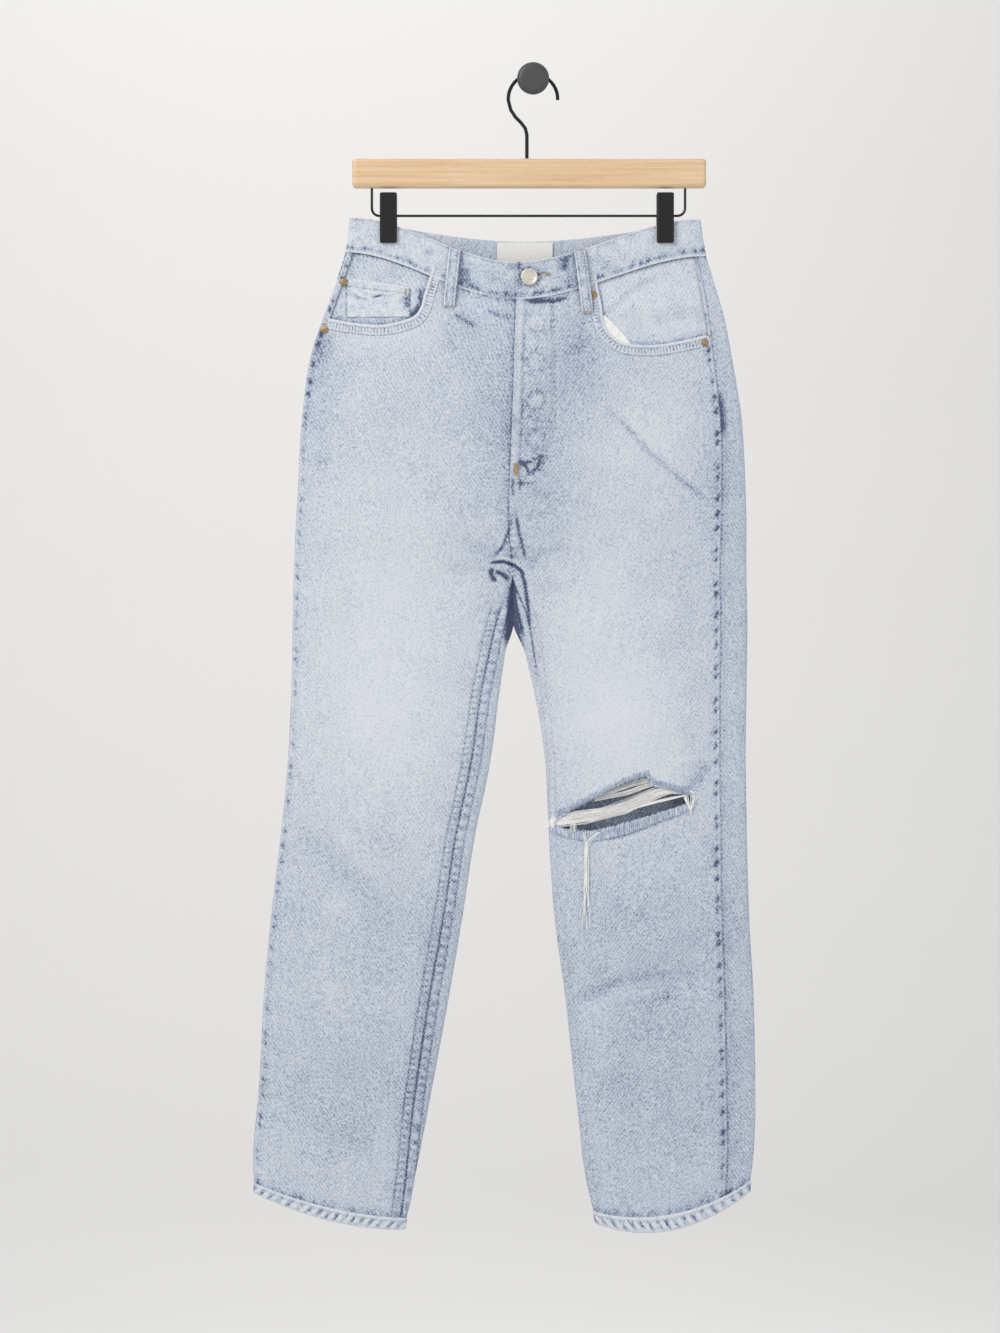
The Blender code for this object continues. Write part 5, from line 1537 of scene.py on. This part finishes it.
# Two small tufts hang over the edge, one near each end of the rip.
for n in range(10):
    x, bow = 40.5 + 0.45 * n + 0.5 * wander(n, 16.0), 1.5 * wander(n, 18.0)
    bundles.append([over(x + bow * sin(pi * k / 7), -781 - 8.5 * k / 7, 2.2 - 2.7 * (k == 0))
                    for k in range(8)])
for n in range(26):
    start = (160 if n % 2 else 168.5) + 0.16 * n - 2 + wander(n, 16.0)
    low = -768 - 3.5 * abs(wander(n, 17.0))
    bundles.append([over(start + (165.5 + 0.5 * wander(n, 18.0) - start) * smooth(k / 7),
                         -752 + (low + 752) * k / 7, 2.0 - 2.5 * (k == 0)) for k in range(8)])
main = threads("rip_wefts_main_yarn", bundles, 0.26, cotton, "rip_wefts_main")

bundles = []
for n in range(UPPER_COUNT):
    share = (n + 0.5) / UPPER_COUNT
    line = []
    for k in range(11):
        t = k / 10
        (ax, az), (bx, bz) = along_line(UPPER_TOP, t), along_line(UPPER_LOW, t)
        drift = 1.2 * wander(n + 2 * t, 3.0) * sin(pi * t)
        gap = 0.6 * copysign(sin(pi * t) ** 2, share - 0.45)
        lift = -1.9 - 0.8 * wander(n * 2 + k / 4, 4.0)
        line.append(over(ax + (bx - ax) * share, az + (bz - az) * share + drift - gap, lift))
    bundles.append(line)
upper = threads("rip_wefts_upper_yarn", bundles, 0.24, cotton, "rip_wefts_upper")

UPPER_EDGE = [(24, -774), (38, -768), (60, -756), (94, -739), (120, -731), (126, -740), (146, -745),
              (163, -750)]
LOWER_EDGE = [(18.5, -784), (38, -790), (62, -790.5), (84, -785.5), (113, -777.5), (150, -766), (168, -759)]
FRINGE_COUNT = 210
LIP_COUNT = 420
fringe = []
for n in range(FRINGE_COUNT):
    t = (n + 0.5 + 0.4 * wander(n, 5.0)) / FRINGE_COUNT
    x, z = along_line(UPPER_EDGE, t)
    drop = 0.8 + 2.2 * abs(wander(n, 6.0))
    lean = 1.6 * wander(n, 7.0)
    fringe.append([over(x - lean, z + 4.5 + drop, 0.2), over(x, z + 2.4, 1.6 + 0.5 * wander(n, 8.0)),
                   over(x + lean * 0.5, z - drop * 0.4, 0.6), over(x + lean, z - drop, -0.5)])
fringe = threads("rip_fringe_yarn", fringe, 0.26, indigo_yarn, "rip_fringe")

lip_blue, lip_pale = [], []
for n in range(LIP_COUNT):
    t = (n + 0.5 + 0.45 * wander(n, 9.0)) / LIP_COUNT
    x, z = along_line(LOWER_EDGE, t)
    tall = 2.4 + 2.0 * wander(n, 10.0)
    foot = -5.0 - 4.5 * sin(pi * t) ** 2 - 1.5 * abs(wander(n, 11.0))
    lean = 1.3 * wander(n, 12.0)
    line = [over(x, z + foot, 0.5), over(x, z + foot * 0.8, 1.5 + 0.4 * wander(n, 13.0)),
            over(x + lean * 0.3, z + foot * 0.4, 1.4 + 0.3 * wander(n, 13.0)),
            over(x + lean * 0.6, z + tall * 0.35, 0.8), over(x + lean, z + tall * 0.75, 0.2)]
    (lip_blue if n % 5 < 4 else lip_pale).append(line)
lip = threads("rip_lip_yarn", lip_blue, 0.32, indigo_yarn, "rip_lip")
lip_white = threads("rip_lip_weft", lip_pale, 0.26, cotton)

# The hanging thread is seven strands with two roots. Each has its own end, in x and z.
STRAND_ENDS = [(52, -899), (57, -897), (61, -876), (54, -885), (58, -868), (50, -880), (60, -890)]
hanging = []
for n, (end, drop) in enumerate(STRAND_ENDS):
    start = (52 if n % 2 else 67) + 0.6 * n
    line = []
    for k in range(14):
        t = k / 13
        meet = 56 + 0.66 * (n - 3) + 0.5 * sin(2 * n + 4 * t)
        if t < 0.12:
            x = start + (meet - start) * t / 0.12
        else:
            x = meet + (end - meet) * smooth((t - 0.6) / 0.4)
        lift = 2.6 - min(t / 0.2, 1.0)
        line.append(over(x + 0.6 * wander(n + 4 * t, 14.0), -790 + (drop + 790) * t, lift))
    hanging.append(line)
hanging = threads("hanging_thread_yarn", hanging, 0.5, cotton, "hanging_thread")
print("threads", {p.name: len(p.data.polygons) for p in (main, upper, fringe, lip, lip_white, hanging)})

# %% [markdown]
# Stitches are short flat beads, 3.3 mm apart, each turned along its seam. Their thread is pale, as
# the photograph shows, and the bar tacks, which hold the corners, are golden. A seam's stitches are
# shaped in one small mesh and then joined to its group, which keeps every operator quick.

# %% Stitches
STITCH_PITCH = 3.3
STITCH_LIFT = 0.12
# Spun thread has a soft shine, and takes on some of the wash's blue in places.
pale_thread = speckled("spun polyester thread, ecru", [(0.3, "B9BDC2"), (0.7, "E0DDD4")], 0.75, 2.5,
                       Sheen_Weight=0.2)
gold_thread = speckled("spun polyester thread, gold", [(0.3, "A38C60"), (0.7, "D6C79E")], 0.7, 2.5,
                       Sheen_Weight=0.2)


def bead(bm, spot, heading, long, wide, tall):
    """One stitch: a flat bead along its heading."""
    heading = (heading - spot.out * heading.dot(spot.out)).normalized()
    turn = Matrix((heading, spot.out.cross(heading), spot.out)).transposed().to_4x4()
    size = Matrix.Diagonal((long / 2 * MM, wide / 2 * MM, tall / 2 * MM, 1))
    bmesh.ops.create_icosphere(bm, subdivisions=1, radius=1,
                               matrix=Matrix.Translation(spot.point) @ turn @ size)


def join(group, bm):
    """Join one line of stitches to its group."""
    mesh = to_mesh("stitches", bm)
    group.from_mesh(mesh)
    bpy.data.meshes.remove(mesh)


def sew(group, spots, long=2.5, wide=0.62, tall=0.5):
    """Stitches along a line of spots, about a pitch apart."""
    bm = bmesh.new()
    spare = 0.0
    for before, spot in zip(spots, spots[1:]):
        step = (spot.point - before.point).length / MM
        if step < 1e-4:
            continue
        spare += step
        if spare >= STITCH_PITCH:
            spare -= STITCH_PITCH
            bead(bm, spot, spot.point - before.point, long, wide, tall)
    join(group, bm)


def tack(group, spot, heading, length, wide=2.2):
    """Bar tack: close stitches across a short line."""
    bm = bmesh.new()
    heading = heading.normalized()
    across = spot.out.cross(heading)
    for i in range(round(length / 0.8)):
        along = (i * 0.8 - length / 2 + 0.4) * MM
        bead(bm, spot._replace(point=spot.point + heading * along), across, wide, 0.75, 0.7)
    join(group, bm)


def raised(spots, lift):
    """The same spots, moved out by lift in mm."""
    return [spot._replace(point=spot.point + spot.out * lift * MM) for spot in spots]


def on_front(points):
    """Spots on the left front along a line of places."""
    return [skin("left", 1, x, z, STITCH_LIFT) for x, z in curve_through(points, 0.8)]


def beside_seam(side, seam, offset, start, end):
    """Spots beside a leg seam, offset in mm across the cloth from it."""
    spots = []
    for level in levels_between(side, start, end, 1.1):
        row = section(side, level)
        turn = outer_turn(row) if seam == "side" else inner_turn(row)
        near = flat_point(side, level, turn)
        shift = 0.01 if offset > 0 else -0.01
        for _ in range(200):
            turn += shift
            here = flat_point(side, level, turn)
            if hypot(here[0] - near[0], here[1] - near[1]) >= abs(offset):
                break
        spots.append(spot_at(side, level, turn, STITCH_LIFT))
    return spots


def back_line(side, start, end, lift):
    """Spots on the back along a straight line."""
    return [skin(side, -1, start[0] + (end[0] - start[0]) * k / 150, start[1] + (end[1] - start[1]) * k / 150,
                 lift) for k in range(151)]


# The leg seams, hems and pocket mouths.
groups = {name: bmesh.new() for name in ("legs", "top", "back", "gold")}
for side in SECTIONS:
    for seam, offset, start in (("inner", -2.2, 8.2), ("inner", -9.0, 8.2), ("side", -2.4, 2.2)):
        sew(groups["legs"], beside_seam(side, seam, offset, start, 16.6))
    hem = [spot_at(side, 16.728, 2 * pi * i / 700, 0.95) for i in range(701)]
    sew(groups["legs"], hem, 2.6, 0.6, 0.6)
    rings = mouth_strip(side)
    for k in (8, 2):
        sew(groups["top"], [ring[k] for ring in rings])

# The band's two rows, and the fly.
for level in (0.088, 0.912):
    for side in SECTIONS:
        turns = [-pi / 2 + pi * i / 620 for i in range(621)]
        spots = [spot_at(side, level, turn, BAND_LIFT / MM + 0.08, band_dress) for turn in turns]
        if side == "right":
            spots = [spot for spot in spots if spot.out.y > 0 or spot.point.x < -0.020]
        sew(groups["top"], spots)
sew(groups["top"], on_front(FLY_J))
sew(groups["top"], on_front([(x - (6.2 if z > -380 else 5.2), z + (0 if z > -370 else 4.5))
                             for x, z in FLY_J[:-1]]))
sew(groups["top"], on_front([(-16.6, -234), (-17, -300), (-18.2, -380), (-19.0, -470)]))

# The yokes and back pockets.
for side in SECTIONS:
    for shift in (0.06, 0.24):
        spots = []
        for i in range(400):
            t = 0.02 + 0.97 * i / 399
            level = yoke_line(t) - shift
            a, b = back_limits(side, level)
            spots.append(spot_at(side, level, a + (b - a) * t, STITCH_LIFT))
        sew(groups["back"], spots)
    middle = BACK_POCKET_MIDDLE[side]
    for inset, lift in ((2.0, 2.35), (8.2, 2.0)):
        half, foot = BACK_POCKET_WIDTH / 2, BACK_POCKET_TOP - BACK_POCKET_HEIGHT
        top, corner = BACK_POCKET_TOP - 2, foot + BACK_POCKET_POINT + inset * 0.8
        top_half, low_half = half - inset, half * 0.86 - inset
        line = [(middle - top_half, top), (middle - low_half, corner), (middle, foot + inset * 1.15),
                (middle + low_half, corner), (middle + top_half, top)]
        for start, end in zip(line, line[1:]):
            sew(groups["back"], back_line(side, start, end, lift))
    sew(groups["back"], back_line(side, (middle - 70, -307), (middle + 70, -307), 2.15))

# The belt loops, with a tack at each end.
for loop in LOOPS:
    rows = loop_rows(loop)
    for column in (3, 13):
        sew(groups["top"], raised([row[column] for row in rows], 0.2))
    for row in (rows[1], rows[43]):
        tack(groups["gold" if loop.face > 0 else "back"], row[8], row[9].point - row[7].point, 11.0)


def tack_at(side, x, z, heading, length, lift):
    """Golden bar tack at a place on the front."""
    tack(groups["gold"], skin(side, 1, x, z, lift), Vector((heading[0], 0, heading[1])), length)


tack(groups["gold"], skin("left", 1, -18.0, -409.5, 0.4), Vector((0, 0, 1)), 13.0, 7.5)
tack(groups["gold"], skin("left", 1, 11.0, -204.5, 1.3, band_dress), Vector((1, 0, -0.12)), 14.5, 4.4)
sew(groups["gold"], raised(coin_rows[7], 0.25))
tack_at("right", -134, -222.5, (0.2, 1), 7, 0.2)
tack_at("right", -106.5, -218.5, (0.2, 1), 6, 1.1)
tack_at("right", -219, -256, (1, 0), 6, 0.5)
tack_at("left", 184, -268.5, (1, -0.2), 6, 1.0)
for name, bm in groups.items():
    mesh = to_mesh("stitches_" + name, bm)
    mesh.shade_smooth()
    show(mesh.name, mesh, gold_thread if name == "gold" else pale_thread)

# %% [markdown]
# The waist button is a stamped brass cap with a rolled rim, and the rivets are small domes with a
# nipple. Both are spun from a profile. The button's plating is worn pale, so brass shows through a
# whitish film, a little rough. The rivets are copper that has gone brown in patches.

# %% Button and rivets
RIVETS = [("rivet_coin", "right", -199, -212, 0.7), ("rivet_pocket_right", "right", -219, -262, 0.7),
          ("rivet_pocket_left", "left", 180, -276, 0.7), ("rivet_fly_side", "left", 63, -226, 1.5)]
brass = speckled("worn brass plate", [(0.3, "DCD1B6"), (0.55, "EFEADD"), (0.75, "F9F7F1")], 0.42, 1.6, 0.25,
                 detail=3.0, Metallic=0.6)
copper = speckled("aged copper", [(0.36, "94764F"), (0.62, "C2A680")], 0.5, 1.1, 0.25,
                  detail=3.0, Metallic=0.7)


def spun(name, profile, spot, finish, steps):
    """Turned piece on the cloth: a profile of radius and height in mm, spun about the outward line."""
    bm = bmesh.new()
    verts = [bm.verts.new((r * MM, 0, h * MM)) for r, h in profile]
    edges = [bm.edges.new(pair) for pair in zip(verts, verts[1:])]
    bmesh.ops.spin(bm, geom=verts + edges, cent=(0, 0, 0), axis=(0, 0, 1), dvec=(0, 0, 0), angle=2 * pi,
                   steps=steps, use_merge=True)
    bmesh.ops.remove_doubles(bm, verts=bm.verts, dist=0.000001)
    bmesh.ops.recalc_face_normals(bm, faces=bm.faces)
    bm.transform(Matrix.Translation(spot.point) @ spot.out.to_track_quat("Z", "Y").to_matrix().to_4x4())
    mesh = to_mesh(name, bm)
    mesh.shade_smooth()
    mesh.set_sharp_from_angle(angle=radians(50))
    return show(name, mesh, finish)


BUTTON = [(0, 2.75), (2.2, 2.7), (4.4, 2.45), (5.6, 2.3), (6.2, 2.6), (6.9, 3.35), (7.6, 3.6), (8.3, 3.4),
          (8.8, 2.8), (8.85, 2.3), (8.4, 1.9), (5.0, 1.7), (3.8, 1.4), (3.7, 0.0), (0, 0)]
RIVET = [(0, 1.75), (0.7, 1.7), (1.2, 1.35), (1.5, 1.05), (2.4, 1.05), (3.3, 0.85), (3.9, 0.45), (4.1, 0.05),
         (4.0, -0.3), (0, -0.3)]
button = spun("waist_button_brass", BUTTON, skin("left", 1, BUTTON_X, BUTTON_Z, 0.8, None), brass, 48)
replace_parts(button, "waist_button")
for name, side, x, z, lift in RIVETS:
    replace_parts(spun(name + "_brass", RIVET, skin(side, 1, x, z, lift), copper, 32), name)
print("button", len(button.data.polygons), "faces")

# %% [markdown]
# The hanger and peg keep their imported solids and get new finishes. The bar is clear-lacquered beech,
# with fine streaks along it and short flecks. The wire is dark and satin, the clips are moulded nylon
# with a faint grain, and the peg is powder-coated steel, whose skin is slightly pebbled.

# %% Hanger and peg finishes
STREAK_MM = (143.0, 3.85, 3.85)
FLECK_MM = (8.33, 1.11, 1.11)
beech, tree, shader = new_finish("lacquered beech", "E4C49C", 0.42, Coat_Weight=0.25, Coat_Roughness=0.3)
streak = patches(tree, STREAK_MM, Detail=4.0, Distortion=0.4)
fleck = patches(tree, FLECK_MM, Detail=1.0)
growth = summed(tree, 0.5, [(streak, 1.1, 0.5), (fleck, 0.35, 0.5)])
paint(tree, shader, growth, [(0.1, "D8AE7C"), (0.45, "EAC69B"), (0.8, "F4DAB8")], streak, 0.15, 0.2)

wire = speckled("satin black wire", [(0.35, "242221"), (0.65, "33302F")], 0.36, 1.5, 0.1, Metallic=0.5)
nylon = speckled("moulded black nylon", [(0.35, "060607"), (0.65, "0D0C0E")], 0.55, 0.8, 0.35)
powder = speckled("charcoal powder coat", [(0.35, "454547"), (0.65, "525254")], 0.5, 0.7, 0.4)
HARD = {"hanger_bar": beech, "hanger_hook": wire, "hanger_rail": wire, "clip_right": nylon,
        "clip_left": nylon, "wall_peg": powder}
for name, made in HARD.items():
    for slot in frame["nodes"][name].material_slots:
        slot.material = made
print("hard parts", sorted(HARD))

# %% [markdown]
# Last, the bounds of everything but the sweep are found.

# %% Bounds of the object
low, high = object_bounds()
